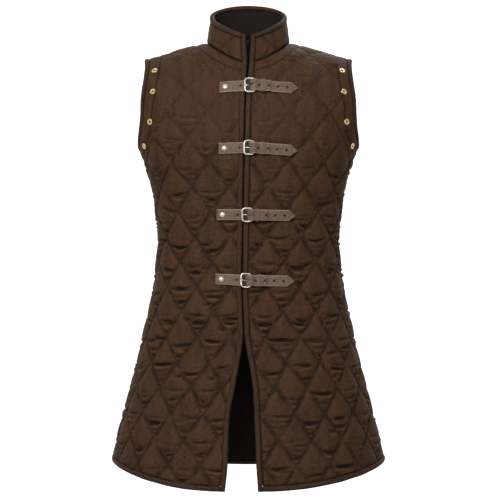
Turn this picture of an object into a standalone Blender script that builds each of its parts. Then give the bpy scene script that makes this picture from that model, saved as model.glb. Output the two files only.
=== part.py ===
"""Sleeveless quilted gambeson with a standing collar, laced armholes and four buckled front straps.

Metres, +Z up, the front faces -Y. The origin lies between the two side neck points, where the garment
hangs on its wearer's shoulders. Left and right are the wearer's.
"""

import math
from collections import namedtuple

import bmesh
import bpy
from mathutils import Matrix, Vector

# Outer face of the body: its half width and its depths before and behind the side seams, from the hem up.
Section = namedtuple("Section", "height half_width front_depth back_depth")
SECTIONS = (
    Section(-0.830, 0.2670, 0.169, 0.160),
    Section(-0.770, 0.2520, 0.161, 0.152),
    Section(-0.660, 0.2245, 0.146, 0.137),
    Section(-0.550, 0.1965, 0.131, 0.121),
    Section(-0.450, 0.1765, 0.119, 0.106),
    Section(-0.370, 0.1680, 0.114, 0.097),
    Section(-0.300, 0.1740, 0.118, 0.098),
    Section(-0.240, 0.1860, 0.123, 0.104),
    Section(-0.192, 0.2035, 0.125, 0.109),
    Section(-0.150, 0.2140, 0.121, 0.111),
    Section(-0.110, 0.2210, 0.115, 0.111),
    Section(-0.070, 0.2220, 0.104, 0.110),
    Section(-0.030, 0.2220, 0.092, 0.109),
    Section(0.030, 0.2220, 0.080, 0.109),
)
SQUARENESS = 2.5

# Front opening: how far its middle lies to the wearer's left, and how wide it stands open.
Opening = namedtuple("Opening", "height middle gap")
OPENINGS = (
    Opening(-0.800, -0.0118, 0.0565),
    Opening(-0.756, -0.0111, 0.0493),
    Opening(-0.673, -0.0110, 0.0420),
    Opening(-0.617, -0.0076, 0.0281),
    Opening(-0.530, -0.0080, 0.0003),
    Opening(-0.450, -0.0110, 0.0003),
    Opening(-0.370, -0.0100, 0.0003),
    Opening(-0.240, -0.0080, 0.0003),
    Opening(-0.100, -0.0045, 0.0003),
    Opening(-0.045, 0.0000, 0.0023),
    Opening(0.005, 0.0000, 0.0065),
)

# Shoulders: the seam falls from the side neck point, and the body rolls over it within ROLL_HEIGHT.
NECK_HALF_WIDTH = 0.0777
SHOULDER_FALL = 0.274
RIDGE_RISE = 0.028
ROLL_HEIGHT = 0.13
FRONT_NECK_ROLL = math.radians(64)
BACK_NECK_ROLL = math.radians(25)

ARMHOLE_MIDDLE = -0.1147
ARMHOLE_HALF_HEIGHT = 0.0853
ARMHOLE_FRONT_REACH = 0.068
ARMHOLE_FRONT_SCOOP = 0.016
ARMHOLE_BACK_REACH = 0.065
UNDERARM = ARMHOLE_MIDDLE - ARMHOLE_HALF_HEIGHT

HEM_CENTRE = -0.794
HEM_SIDE = -0.759

# Collar: its top edge, without the binding on it.
COLLAR_HALF_WIDTH = 0.0710
COLLAR_FRONT_REACH = 0.0720
COLLAR_BACK_REACH = 0.0460
COLLAR_FRONT_TOP = -0.004
COLLAR_SIDE_TOP = 0.043
COLLAR_BACK_TOP = 0.068
COLLAR_SLOPE_POWER = 1.1

# Cloth
SEAM = 0.0003
QUILT_THICKNESS = 0.0050
LINING_THICKNESS = 0.0012
WALL_THICKNESS = QUILT_THICKNESS + SEAM + LINING_THICKNESS
BINDING_WIDTH = 0.0090
ARMHOLE_BINDING_WIDTH = 0.0080
BINDING_PROUD = 0.0008
BINDING_GAP = 0.0005
BINDING_ROUND = 0.0024

# Grid of each half panel: columns from its centre edge to its side edge, rows from the hem up.
COLUMNS = 8
TORSO_ROWS = 11
EDGE_ROWS = 4
NECK_ROWS = 5
UPPER_ROWS = EDGE_ROWS + NECK_ROWS
COLLAR_ROWS = 2

# Eyelets, on each side: the face they are in, how far they are from the centre, and their height.
Eyelet = namedtuple("Eyelet", "face across height")
EYELETS = (
    Eyelet("front", 0.1705, -0.057),
    Eyelet("front", 0.1720, -0.098),
    Eyelet("front", 0.1765, -0.153),
    Eyelet("front", 0.1880, -0.195),
    Eyelet("back", 0.1740, -0.070),
    Eyelet("back", 0.1830, -0.122),
    Eyelet("back", 0.1900, -0.175),
)
EYELET_RADIUS = 0.0055
EYELET_HOLE_RADIUS = 0.0025
EYELET_BARREL_RADIUS = 0.0031
EYELET_CLOTH_HOLE_RADIUS = 0.0035
EYELET_RIM_HEIGHT = 0.0013
EYELET_RIM_SLOPE = 0.0008
EYELET_SIDES = 8

# Straps: the place of each buckle, how much each strap end lies above it, and where its keeper starts.
Strap = namedtuple("Strap", "across height rivet_end_rise tip_rise keeper_start")
STRAPS = (
    Strap(0.0028, -0.0921, -0.0035, -0.0044, 0.0210),
    Strap(0.0014, -0.2021, -0.0018, -0.0053, 0.0210),
    Strap(-0.0019, -0.3203, 0.0000, -0.0016, 0.0145),
    Strap(-0.0040, -0.4372, 0.0028, -0.0012, 0.0210),
)
STRAP_LIFT = 0.0016
STRAP_HALF_WIDTH = 0.0095
BILLET_THICKNESS = 0.0020
BILLET_START = -0.0535
BILLET_POINT_START = 0.0730
BILLET_TIP = 0.0850
BILLET_TIP_HALF_WIDTH = 0.0006
BILLET_STATIONS = 26
BILLET_ARCH_START = -0.0120
BILLET_ARCH_END = 0.0400
BILLET_FLAT_SHARE = 0.25
BILLET_HOLES = (-0.0170, 0.0164, 0.0327, 0.0492, 0.0657)
BILLET_HOLE_RADIUS = 0.0013

# Height of the billet's middle over the cloth, at places along the strap from the buckle's centre.
Rise = namedtuple("Rise", "along middle")
BILLET_RISE = (
    Rise(-0.0535, 0.0016),
    Rise(-0.0100, 0.0016),
    Rise(-0.0072, 0.0021),
    Rise(0.0000, 0.0060),
    Rise(0.0055, 0.0079),
    Rise(0.0105, 0.0079),
    Rise(0.0150, 0.0050),
    Rise(0.0170, 0.0046),
    Rise(0.0345, 0.0046),
    Rise(0.0400, 0.0016),
    Rise(0.0850, 0.0016),
)

CHAPE_HALF_WIDTH = 0.0084
CHAPE_THICKNESS = 0.0012
CHAPE_END = 0.0340
CHAPE_LOWER = 0.0012
CHAPE_UPPER = 0.0027
CHAPE_MEET = 0.0155

KEEPER_LENGTH = 0.0060
KEEPER_THICKNESS = 0.0012
KEEPER_INNER_HALF_WIDTH = 0.0100
KEEPER_FOOT = 0.0005
KEEPER_INNER_TOP = 0.0068

WIRE_RADIUS = 0.0013
FRAME_HALF_LENGTH = 0.0086
FRAME_HALF_WIDTH = 0.0117
FRAME_CORNER = 0.0030
HEEL_HEIGHT = 0.0036
FAR_BAR_HEIGHT = 0.0050
CHAPE_LOOP_RADIUS = HEEL_HEIGHT - CHAPE_LOWER

PRONG_RADIUS = 0.0008
PRONG_LOOP_RADIUS = WIRE_RADIUS + SEAM + PRONG_RADIUS
PRONG_SLOT_HALF_WIDTH = 0.0012
BILLET_SLOT = (-0.0042, 0.0080)
CHAPE_SLOT = (0.00315, 0.01265)
CUT_DEPTH = 0.03
PRONG_TIP = -0.0110

RIVET_PLACE = -0.0435
RIVET_RADIUS = 0.0045
RIVET_HEIGHT = 0.0024
RIVET_BASE = 0.0029
RIVET_SIDES = 10


# --- Scene ---------------------------------------------------------------------------------------

for old in list(bpy.data.objects):
    bpy.data.objects.remove(old)


def collection(name):
    """A new collection in the scene."""
    made = bpy.data.collections.new(name)
    bpy.context.scene.collection.children.link(made)
    return made


PARTS = collection("gambeson")
CUTTERS = collection("cutters")


def material(name, colour, roughness, metallic=0.0):
    """A plain Principled material."""
    made = bpy.data.materials.new(name)
    made.use_nodes = True
    shader = made.node_tree.nodes["Principled BSDF"]
    shader.inputs["Base Color"].default_value = (*colour, 1.0)
    shader.inputs["Roughness"].default_value = roughness
    shader.inputs["Metallic"].default_value = metallic
    return made


QUILTED_COTTON = material("quilted_cotton", (0.060, 0.032, 0.021), 0.75)
LINING_COTTON = material("lining_cotton", (0.012, 0.010, 0.010), 0.85)
LEATHER = material("leather", (0.120, 0.075, 0.056), 0.55)
BRASS = material("brass", (0.62, 0.47, 0.26), 0.35, 1.0)
NICKEL = material("nickel", (0.60, 0.56, 0.50), 0.30, 1.0)


def add(name, mesh, finish, smooth_under=40):
    """Put a mesh in the scene as a named piece."""
    piece = bpy.data.objects.new(name, mesh)
    PARTS.objects.link(piece)
    mesh.materials.clear()
    mesh.materials.append(finish)
    mesh.shade_smooth()
    mesh.set_sharp_from_angle(angle=math.radians(smooth_under))
    return piece


def mesh_from(bm, name):
    """Close a bmesh's normals outwards and turn it into a mesh."""
    bmesh.ops.recalc_face_normals(bm, faces=bm.faces[:])
    mesh = bpy.data.meshes.new(name)
    bm.to_mesh(mesh)
    bm.free()
    return mesh


# --- The garment's outer face --------------------------------------------------------------------


def smooth(table, column, height):
    """Value of a table's column at a height, on a smooth curve through its rows."""
    rows = [(row.height, getattr(row, column)) for row in table]
    last = len(rows) - 1
    here = min(max(height, rows[0][0]), rows[last][0])
    low = max(i for i in range(last) if rows[i][0] <= here)

    def slope(i):
        before, after = rows[max(i - 1, 0)], rows[min(i + 1, last)]
        return (after[1] - before[1]) / (after[0] - before[0])

    (z0, v0), (z1, v1) = rows[low], rows[low + 1]
    span = z1 - z0
    k = (here - z0) / span
    start = (1 + 2 * k) * (1 - k) ** 2 * v0 + k * (1 - k) ** 2 * span * slope(low)
    end = k * k * (3 - 2 * k) * v1 + k * k * (k - 1) * span * slope(low + 1)
    return start + end


def ridge(x):
    """Height of the shoulder line, and its slope: a dome over the neck, then a straight fall."""
    if x >= NECK_HALF_WIDTH:
        return -SHOULDER_FALL * (x - NECK_HALF_WIDTH), -SHOULDER_FALL
    k = x / NECK_HALF_WIDTH
    fall = -SHOULDER_FALL * NECK_HALF_WIDTH
    rise = RIDGE_RISE * (1 - 3 * k * k + 2 * k**3) + fall * (k**3 - k * k)
    slope = RIDGE_RISE * (6 * k * k - 6 * k) + fall * (3 * k * k - 2 * k)
    return rise, slope / NECK_HALF_WIDTH


def depth_column(face):
    """Name of the section column that a face's depth is in."""
    return f"{face}_depth"


def face_point(face, x, z):
    """Point of the front or back face at a distance from the centre (either side) and a height."""
    width = smooth(SECTIONS, "half_width", z)
    depth = smooth(SECTIONS, depth_column(face), z)
    drop = min(max((ridge(abs(x))[0] - z) / ROLL_HEIGHT, 0.0), 1.0)
    roll = math.sqrt(drop * (2 - drop))
    plan = max(1 - (abs(x) / width) ** SQUARENESS, 0.0) ** (1 / SQUARENESS)
    y = depth * plan * roll
    return Vector((x, -y if face == "front" else y, z))


def section_slope(column, z):
    """How fast a section column changes with height."""
    step = 0.001
    return (smooth(SECTIONS, column, z + step) - smooth(SECTIONS, column, z - step)) / (2 * step)


def face_normal(face, x, z):
    """Outward normal there, from the slopes of the plan curve, the sections and the shoulder roll."""
    width = smooth(SECTIONS, "half_width", z)
    depth = smooth(SECTIONS, depth_column(face), z)
    width_slope = section_slope("half_width", z)
    depth_slope = section_slope(depth_column(face), z)
    line, line_slope = ridge(abs(x))
    drop = min(max((line - z) / ROLL_HEIGHT, 0.0), 1.0)
    roll = math.sqrt(drop * (2 - drop))
    across = min(abs(x) / width, 1.0)
    plan = (1 - across**SQUARENESS) ** (1 / SQUARENESS)
    side = roll * roll * depth * across ** (SQUARENESS - 1) / width
    ahead = plan ** (SQUARENESS - 1)
    over = plan * depth * (1 - drop) / ROLL_HEIGHT
    normal = Vector(
        (
            side - ahead * over * line_slope,
            ahead * roll,
            -side * across * width_slope + ahead * (over - plan * depth_slope * roll * roll),
        )
    )
    normal.x *= math.copysign(1.0, x)
    normal.y *= -1.0 if face == "front" else 1.0
    return normal.normalized()


def roll_angle(x, z):
    """How far a point has rolled down from the shoulder line, as an angle that goes on growing below."""
    drop = (ridge(x)[0] - z) / ROLL_HEIGHT
    if drop < 1:
        return math.acos(min(1 - drop, 1.0))
    return math.pi / 2 + drop - 1


def roll_height(x, angle):
    """Height of the point at x with that roll angle."""
    drop = 1 - math.cos(angle) if angle < math.pi / 2 else 1 + angle - math.pi / 2
    return ridge(x)[0] - drop * ROLL_HEIGHT


def opening_edge(side, z):
    """Distance from the centre line to one front's finished edge, measured towards that side."""
    gap = max(smooth(OPENINGS, "gap", z), SEAM)
    return side * smooth(OPENINGS, "middle", z) + gap / 2


def neck_start(side):
    """Distance from the centre to the panel's corner at the neck."""
    return opening_edge(side, OPENINGS[-2].height) + BINDING_WIDTH + SEAM


def neck_height(face, x):
    """Height of the neckline at a distance from the centre."""
    full_roll = FRONT_NECK_ROLL if face == "front" else BACK_NECK_ROLL
    roll = math.asin(math.sin(full_roll) * math.sqrt(max(1 - (x / NECK_HALF_WIDTH) ** 2, 0.0)))
    return ridge(x)[0] - ROLL_HEIGHT * (1 - math.cos(roll))


def armhole_edge(face, row):
    """Distance from the centre and height of the armhole's edge at an upper row."""
    turn = math.pi * (row / UPPER_ROWS - 0.5)
    z = ARMHOLE_MIDDLE + ARMHOLE_HALF_HEIGHT * math.sin(turn)
    reach = ARMHOLE_BACK_REACH
    if face == "front":
        reach = ARMHOLE_FRONT_REACH - ARMHOLE_FRONT_SCOOP * math.sin(turn)
    wanted = reach * math.cos(turn)
    if row == UPPER_ROWS:
        return NECK_HALF_WIDTH - z / SHOULDER_FALL, z
    width = smooth(SECTIONS, "half_width", z)
    if row == 0:
        return width, z
    near, far = 0.12, min(width, NECK_HALF_WIDTH - z / SHOULDER_FALL)
    for _ in range(40):
        middle = (near + far) / 2
        if abs(face_point(face, middle, z).y) > wanted:
            near = middle
        else:
            far = middle
    return near, z


def centre_edge(face, side, row):
    """Distance from the centre and height of a panel's inner edge at an upper row."""
    start = neck_start(side) if face == "front" else 0.0
    if row <= EDGE_ROWS:
        z = UNDERARM + (neck_height(face, start) - UNDERARM) * row / EDGE_ROWS
        if face == "back" or row == EDGE_ROWS:
            return start, z
        return opening_edge(side, z) + BINDING_WIDTH + SEAM, z
    first = math.asin(start / NECK_HALF_WIDTH)
    turn = first + (math.pi / 2 - first) * (row - EDGE_ROWS) / NECK_ROWS
    x = NECK_HALF_WIDTH * math.sin(turn)
    return x, neck_height(face, x)


def half_panel(face, side):
    """Places (x, z) of one half panel's grid, rows from the hem to the shoulder seam."""
    places = []
    shares = [math.sin(math.pi / 2 * column / COLUMNS) for column in range(COLUMNS + 1)]
    for row in range(TORSO_ROWS):
        inner = HEM_CENTRE + (UNDERARM - HEM_CENTRE) * row / TORSO_ROWS
        outer = HEM_SIDE + (UNDERARM - HEM_SIDE) * row / TORSO_ROWS
        start = opening_edge(side, inner) + BINDING_WIDTH + SEAM if face == "front" else 0.0
        end = smooth(SECTIONS, "half_width", outer)
        line = [(start + (end - start) * share, inner + (outer - inner) * share**2) for share in shares]
        places.append(line)
    for row in range(UPPER_ROWS + 1):
        x0, z0 = centre_edge(face, side, row)
        x1, z1 = armhole_edge(face, row)
        roll0, roll1 = roll_angle(x0, z0), roll_angle(x1, z1)
        line = []
        for share in shares:
            x = x0 + (x1 - x0) * share
            z = roll_height(x, roll0 + (roll1 - roll0) * share) if row else UNDERARM
            line.append((x, z))
        places.append(line)
    return places


def collar_half(side):
    """Points of half the collar's outer face, columns from its front edge to the centre back."""
    first = math.asin(neck_start(side) / NECK_HALF_WIDTH)
    top_edge = opening_edge(side, OPENINGS[-1].height) + BINDING_WIDTH + SEAM
    first_top = math.asin(top_edge / COLLAR_HALF_WIDTH)
    columns = []
    for column in range(2 * NECK_ROWS + 1):
        share = column / NECK_ROWS
        face = "front" if share <= 1 else "back"
        turn = first + (math.pi / 2 - first) * share if share <= 1 else math.pi / 2 * share
        top_turn = first_top + (math.pi / 2 - first_top) * share if share <= 1 else math.pi / 2 * share
        x = NECK_HALF_WIDTH * math.sin(turn) if column < 2 * NECK_ROWS else 0.0
        base = face_point(face, x, neck_height(face, x))
        if face == "front":
            reach = COLLAR_FRONT_REACH
            climb = (top_turn / (math.pi / 2)) ** COLLAR_SLOPE_POWER
            top_z = COLLAR_FRONT_TOP + (COLLAR_SIDE_TOP - COLLAR_FRONT_TOP) * climb
        else:
            reach = COLLAR_BACK_REACH
            top_z = COLLAR_SIDE_TOP - (COLLAR_BACK_TOP - COLLAR_SIDE_TOP) * math.cos(top_turn)
        top_x = COLLAR_HALF_WIDTH * math.sin(top_turn) if column < 2 * NECK_ROWS else 0.0
        top = Vector((top_x, -reach * math.cos(top_turn), top_z))
        columns.append([base.lerp(top, row / COLLAR_ROWS) for row in range(COLLAR_ROWS + 1)])
    rows = [[line[row] for line in columns] for row in range(COLLAR_ROWS + 1)]
    return [[Vector((side * p.x, p.y, p.z)) for p in line] for line in rows]


def collar_normals(rows, side):
    """Outward normals of half the collar, level across the centre back."""
    normals = []
    for r, line in enumerate(rows):
        normals.append([])
        for c in range(len(line)):
            along = line[min(c + 1, len(line) - 1)] - line[max(c - 1, 0)]
            up = rows[min(r + 1, COLLAR_ROWS)][c] - rows[max(r - 1, 0)][c]
            if c == len(line) - 1:
                along = Vector((-side, 0.0, 0.0))
            normals[r].append((along.cross(up) * side).normalized())
    return normals


def mitre(one, other):
    """Inward vector on which two walls meet, one unit deep for each."""
    return -(one + other) / (1 + one.dot(other))


# --- Walls, bindings and cuts ---------------------------------------------------------------------


def wall(name, points, inward, near, far, finish, mirrored=False):
    """A closed cloth wall between two depths under a grid of points."""
    bm = bmesh.new()
    rows, columns = len(points) - 1, len(points[0]) - 1
    bmesh.ops.create_grid(bm, x_segments=columns, y_segments=rows, size=0.5)
    row_of = bm.verts.layers.int.new("row")
    column_of = bm.verts.layers.int.new("column")
    for vert in bm.verts:
        vert[row_of] = round((vert.co.y + 0.5) * rows)
        vert[column_of] = round((vert.co.x + 0.5) * columns)
    bmesh.ops.triangulate(bm, faces=bm.faces[:], quad_method="FIXED")
    outer = bm.verts[:]
    grown = bmesh.ops.extrude_face_region(bm, geom=bm.faces[:], use_keep_orig=True)
    inner = [item for item in grown["geom"] if isinstance(item, bmesh.types.BMVert)]
    for verts, depth in ((outer, near), (inner, far)):
        for vert in verts:
            r, c = vert[row_of], vert[column_of]
            vert.co = points[r][c] + inward[r][c] * depth
    bmesh.ops.triangulate(bm, faces=bm.faces[:], quad_method="SHORT_EDGE")
    if mirrored:
        ends = [face for face in bm.faces if all(abs(vert.co.x) < 0.00001 for vert in face.verts)]
        bmesh.ops.delete(bm, geom=ends, context="FACES")
    piece = add(name, mesh_from(bm, name), finish)
    if mirrored:
        mirror(piece)
    return piece


def mirror(piece):
    """Mirror a half that is open at the centre plane."""
    both = piece.modifiers.new("both halves", "MIRROR")
    both.use_clip = True
    both.merge_threshold = 0.00005


def binding_profile(width):
    """Section of a binding: how far past the panel's edge, and how far out of its face."""
    inner_face = -WALL_THICKNESS - BINDING_PROUD
    return (
        (BINDING_GAP, BINDING_PROUD),
        (width - BINDING_ROUND, BINDING_PROUD),
        (width, BINDING_PROUD - BINDING_ROUND),
        (width, inner_face + BINDING_ROUND),
        (width - BINDING_ROUND, inner_face),
        (BINDING_GAP, inner_face),
    )


def binding(name, path, away, out, width=BINDING_WIDTH, closed=False, mirrored=False):
    """A binding along a panel's edge: the path, the way out past the edge and the way off the face."""
    profile = binding_profile(width)
    around = len(profile)
    bm = bmesh.new()
    stations = len(path) + (1 if closed else 0)
    bmesh.ops.create_grid(bm, x_segments=stations - 1, y_segments=around, size=0.5)
    for vert in bm.verts:
        station = round((vert.co.x + 0.5) * (stations - 1)) % len(path)
        past, proud = profile[round((vert.co.y + 0.5) * around) % around]
        vert.co = path[station] + away[station] * past + out[station] * proud
    bmesh.ops.remove_doubles(bm, verts=bm.verts[:], dist=0.00001)
    if not closed:
        rims = [edge for edge in bm.edges if edge.is_boundary]
        bmesh.ops.edgeloop_fill(bm, edges=rims)
    bmesh.ops.triangulate(bm, faces=bm.faces[:], quad_method="SHORT_EDGE")
    if mirrored:
        ends = [face for face in bm.faces if all(abs(vert.co.x) < 0.00001 for vert in face.verts)]
        bmesh.ops.delete(bm, geom=ends, context="FACES")
    piece = add(name, mesh_from(bm, name), QUILTED_COTTON)
    if mirrored:
        mirror(piece)
    return piece


def cutter(name, bm, group):
    """Put a bmesh in a cutters' collection, hidden."""
    shape = bpy.data.objects.new(name, mesh_from(bm, name))
    shape.hide_render = True
    shape.display_type = "WIRE"
    group.objects.link(shape)
    return shape


def cut(piece, group):
    """Cut every shape of a group out of a piece."""
    holes = piece.modifiers.new("holes", "BOOLEAN")
    holes.operand_type = "COLLECTION"
    holes.collection = group
    holes.solver = "EXACT"


def cutter_group(name):
    """A collection of cutters."""
    group = bpy.data.collections.new(name)
    CUTTERS.children.link(group)
    return group


def frame_on(face, x, z):
    """Matrix at a point of the face, its Z axis along the outward normal."""
    turn = face_normal(face, x, z).to_track_quat("Z", "Y").to_matrix().to_4x4()
    return Matrix.Translation(face_point(face, x, z)) @ turn


# --- Body, collar and their linings ---------------------------------------------------------------


def unit_direction(start, end):
    """Unit vector from one point to another."""
    return (end - start).normalized()


class Panel:
    """Outer points, inward vectors and outward normals of one panel's grid."""

    def __init__(self, face, side):
        shift = Vector((0.0, -SEAM / 2 if face == "front" else SEAM / 2, 0.0))
        places = half_panel(face, side)
        self.side = side
        self.points = [[face_point(face, side * x, z) + shift for x, z in line] for line in places]
        self.normals = [[face_normal(face, side * x or side * 1e-9, z) for x, z in line] for line in places]
        for place_line, normal_line in zip(places, self.normals):
            if place_line[0][0] < 1e-6:
                normal_line[0].x = 0.0
                normal_line[0].normalize()
        self.inward = [[-normal for normal in line] for line in self.normals]

    def armhole_ends(self):
        """Points and normals along the armhole, from the underarm to the shoulder seam."""
        return [(line[-1], turns[-1]) for line, turns in zip(self.points, self.normals)][TORSO_ROWS:]

    def join_collar(self, collar_line):
        """Turn the wall at the neckline to the mitre on which it meets the collar."""
        for step, collar_normal in enumerate(collar_line):
            row = TORSO_ROWS + EDGE_ROWS + step
            self.inward[row][0] = mitre(self.normals[row][0], collar_normal)


def make_body():
    """The fronts, the back, the collar, their linings and all bindings."""
    collar_groups = {}
    panels = {}
    for side, name in ((1, "left"), (-1, "right")):
        rows = collar_half(side)
        normals = collar_normals(rows, side)
        collar_groups[side] = (rows, normals)
        front = Panel("front", side)
        front.join_collar(normals[0][: NECK_ROWS + 1])
        panels[name] = front
        wall(f"front_{name}", front.points, front.inward, 0.0, QUILT_THICKNESS, QUILTED_COTTON)
        wall(
            f"front_{name}_lining",
            front.points,
            front.inward,
            QUILT_THICKNESS + SEAM,
            WALL_THICKNESS,
            LINING_COTTON,
        )
    back = Panel("back", 1)
    back.join_collar(collar_groups[1][1][0][: NECK_ROWS - 1 : -1])
    wall("back", back.points, back.inward, 0.0, QUILT_THICKNESS, QUILTED_COTTON, mirrored=True)
    wall(
        "back_lining",
        back.points,
        back.inward,
        QUILT_THICKNESS + SEAM,
        WALL_THICKNESS,
        LINING_COTTON,
        mirrored=True,
    )
    make_collar(*collar_groups[1], panels["left"], back)
    make_bindings(collar_groups, panels, back)


def make_collar(rows, normals, front, back):
    """The collar and its lining, raised off the neckline by the seam."""
    inward = [[-normal for normal in line] for line in normals]
    for column in range(2 * NECK_ROWS + 1):
        if column <= NECK_ROWS:
            inward[0][column] = front.inward[TORSO_ROWS + EDGE_ROWS + column][0]
        else:
            inward[0][column] = back.inward[TORSO_ROWS + EDGE_ROWS + 2 * NECK_ROWS - column][0]
    points = [list(line) for line in rows]
    for column, base in enumerate(rows[0]):
        points[0][column] = base + unit_direction(base, rows[1][column]) * 2 * SEAM
    columns_back = [line[::-1] for line in points]
    inward_back = [line[::-1] for line in inward]
    wall("collar", columns_back, inward_back, 0.0, QUILT_THICKNESS, QUILTED_COTTON, mirrored=True)
    wall(
        "collar_lining",
        columns_back,
        inward_back,
        QUILT_THICKNESS + SEAM,
        WALL_THICKNESS,
        LINING_COTTON,
        mirrored=True,
    )


def make_bindings(collar_groups, panels, back):
    """Bindings on the front edges, the hem, the armholes and the collar's top."""
    for side, name in ((1, "left"), (-1, "right")):
        front = panels[name]
        collar_rows, collar_normals_here = collar_groups[side]
        neck_row = TORSO_ROWS + EDGE_ROWS

        path = [front.points[row][0] for row in range(neck_row + 1)]
        away = [unit_direction(front.points[row][1], front.points[row][0]) for row in range(neck_row + 1)]
        out = [front.normals[row][0].copy() for row in range(neck_row + 1)]
        out[-1] = -mitre(front.normals[neck_row][0], collar_normals_here[0][0])
        for row in range(1, COLLAR_ROWS + 1):
            path.append(collar_rows[row][0])
            away.append(unit_direction(collar_rows[row][1], collar_rows[row][0]))
            out.append(collar_normals_here[row][0])
        below = path[0] + unit_direction(path[1], path[0]) * BINDING_WIDTH
        above = path[-1] + unit_direction(path[-2], path[-1]) * BINDING_WIDTH
        path = [below, *path, above]
        away = [away[0], *away, away[-1]]
        out = [out[0], *out, out[-1]]
        binding(f"front_edge_binding_{name}", path, away, out)

        hem = front.points[0]
        down = [unit_direction(front.points[1][c], hem[c]) for c in range(COLUMNS + 1)]
        binding(f"hem_binding_{name}", hem, down, front.normals[0])

        front_arm = front.armhole_ends()
        back_arm = back.armhole_ends()
        flip = Vector((side, 1.0, 1.0))
        back_arm = [(point * flip, normal * flip) for point, normal in back_arm]
        ring = front_arm[:-1] + [middle_of(front_arm[-1], back_arm[-1])]
        ring += back_arm[-2:0:-1]
        ring[0] = middle_of(front_arm[0], back_arm[0])
        path = [point for point, _ in ring]
        out = [normal for _, normal in ring]
        away = []
        for k, point in enumerate(path):
            along = path[(k + 1) % len(path)] - path[k - 1]
            away.append((out[k].cross(along) * -side).normalized())
        binding(f"armhole_binding_{name}", path, away, out, ARMHOLE_BINDING_WIDTH, closed=True)

    hem = back.points[0]
    down = [unit_direction(back.points[1][c], hem[c]) for c in range(COLUMNS + 1)]
    binding("hem_binding_back", hem, down, back.normals[0], mirrored=True)

    rows, normals = collar_groups[1]
    top = rows[-1][::-1]
    up = [unit_direction(low, high) for low, high in zip(rows[-2][::-1], top)]
    binding("collar_binding", top, up, normals[-1][::-1], mirrored=True)


def middle_of(one, other):
    """Mean of two point and normal pairs."""
    return (one[0] + other[0]) / 2, (one[1] + other[1]).normalized()


# --- Eyelets ---------------------------------------------------------------------------------------


def make_eyelets():
    """Rolled brass eyelets round both armholes, each through its own hole in the cloth."""
    profile = (
        (EYELET_HOLE_RADIUS, EYELET_RIM_HEIGHT),
        (EYELET_RADIUS - EYELET_RIM_SLOPE, EYELET_RIM_HEIGHT),
        (EYELET_RADIUS, SEAM),
        (EYELET_BARREL_RADIUS, SEAM),
        (EYELET_BARREL_RADIUS, -WALL_THICKNESS),
        (EYELET_HOLE_RADIUS, -WALL_THICKNESS),
    )
    ring = bpy.data.meshes.new("eyelet")
    edges = [(k, (k + 1) % len(profile)) for k in range(len(profile))]
    ring.from_pydata([(r, 0.0, h) for r, h in profile], edges, [])
    groups = {name: cutter_group(f"{name}_eyelet_holes") for name in ("front_left", "front_right", "back")}
    for side, name in ((1, "left"), (-1, "right")):
        for number, eyelet in enumerate(EYELETS, 1):
            place = frame_on(eyelet.face, side * eyelet.across, eyelet.height)
            piece = add(f"eyelet_{name}_{number}", ring, BRASS)
            piece.matrix_world = place
            turned = piece.modifiers.new("turned", "SCREW")
            turned.steps = EYELET_SIDES
            turned.render_steps = EYELET_SIDES
            turned.use_merge_vertices = True
            turned.merge_threshold = 0.00001
            hole = bmesh.new()
            bmesh.ops.create_cone(
                hole,
                cap_ends=True,
                segments=EYELET_SIDES,
                radius1=EYELET_CLOTH_HOLE_RADIUS,
                radius2=EYELET_CLOTH_HOLE_RADIUS,
                depth=4 * WALL_THICKNESS,
                matrix=place,
            )
            target = f"front_{name}" if eyelet.face == "front" else "back"
            cutter(f"hole_{name}_{number}", hole, groups[target])
    for name, group in groups.items():
        cut(bpy.data.objects[name], group)
        cut(bpy.data.objects[f"{name}_lining"], group)


# --- Straps ----------------------------------------------------------------------------------------


def as_mesh(flat):
    """Mesh of an object as its modifiers or its curve make it; the object is removed."""
    bpy.context.view_layer.update()
    evaluated = flat.evaluated_get(bpy.context.evaluated_depsgraph_get())
    mesh = bpy.data.meshes.new_from_object(evaluated)
    bm = bmesh.new()
    bm.from_mesh(mesh)
    bm.transform(flat.matrix_world)
    bmesh.ops.remove_doubles(bm, verts=bm.verts[:], dist=0.000005)
    bpy.data.objects.remove(flat)
    return mesh_from(bm, "flat")


def lay(name, mesh, strap, finish):
    """Bend a flat strap piece onto the front: X along the strap, Y up, Z off the cloth."""
    for vert in mesh.vertices:
        along, up, off = vert.co
        if along < 0:
            sway = strap.rivet_end_rise * along / BILLET_START
        else:
            sway = strap.tip_rise * along / BILLET_TIP
        x = strap.across + along
        z = strap.height + sway + up
        vert.co = face_point("front", x, z) + face_normal("front", x, z) * (off + STRAP_LIFT)
    mesh.name = name
    return add(name, mesh, finish)


def outline(points, half_depth):
    """Mesh of a flat outline in X and Y, thickened by half_depth each way along Z."""
    curve = bpy.data.curves.new("outline", "CURVE")
    curve.dimensions = "2D"
    curve.fill_mode = "BOTH"
    curve.extrude = half_depth
    spline = curve.splines.new("POLY")
    spline.points.add(len(points) - 1)
    for point, (x, y) in zip(spline.points, points):
        point.co = (x, y, 0.0, 1.0)
    spline.use_cyclic_u = True
    shape = bpy.data.objects.new("outline", curve)
    bpy.context.scene.collection.objects.link(shape)
    return as_mesh(shape)


def rod(points, radius, sides_level, cyclic=False):
    """Mesh of a round rod along points."""
    curve = bpy.data.curves.new("rod", "CURVE")
    curve.dimensions = "3D"
    curve.bevel_depth = radius
    curve.bevel_resolution = sides_level
    curve.use_fill_caps = not cyclic
    spline = curve.splines.new("POLY")
    spline.points.add(len(points) - 1)
    for point, place in zip(spline.points, points):
        point.co = (*place, 1.0)
    spline.use_cyclic_u = cyclic
    shape = bpy.data.objects.new("rod", curve)
    bpy.context.scene.collection.objects.link(shape)
    return as_mesh(shape)


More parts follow.
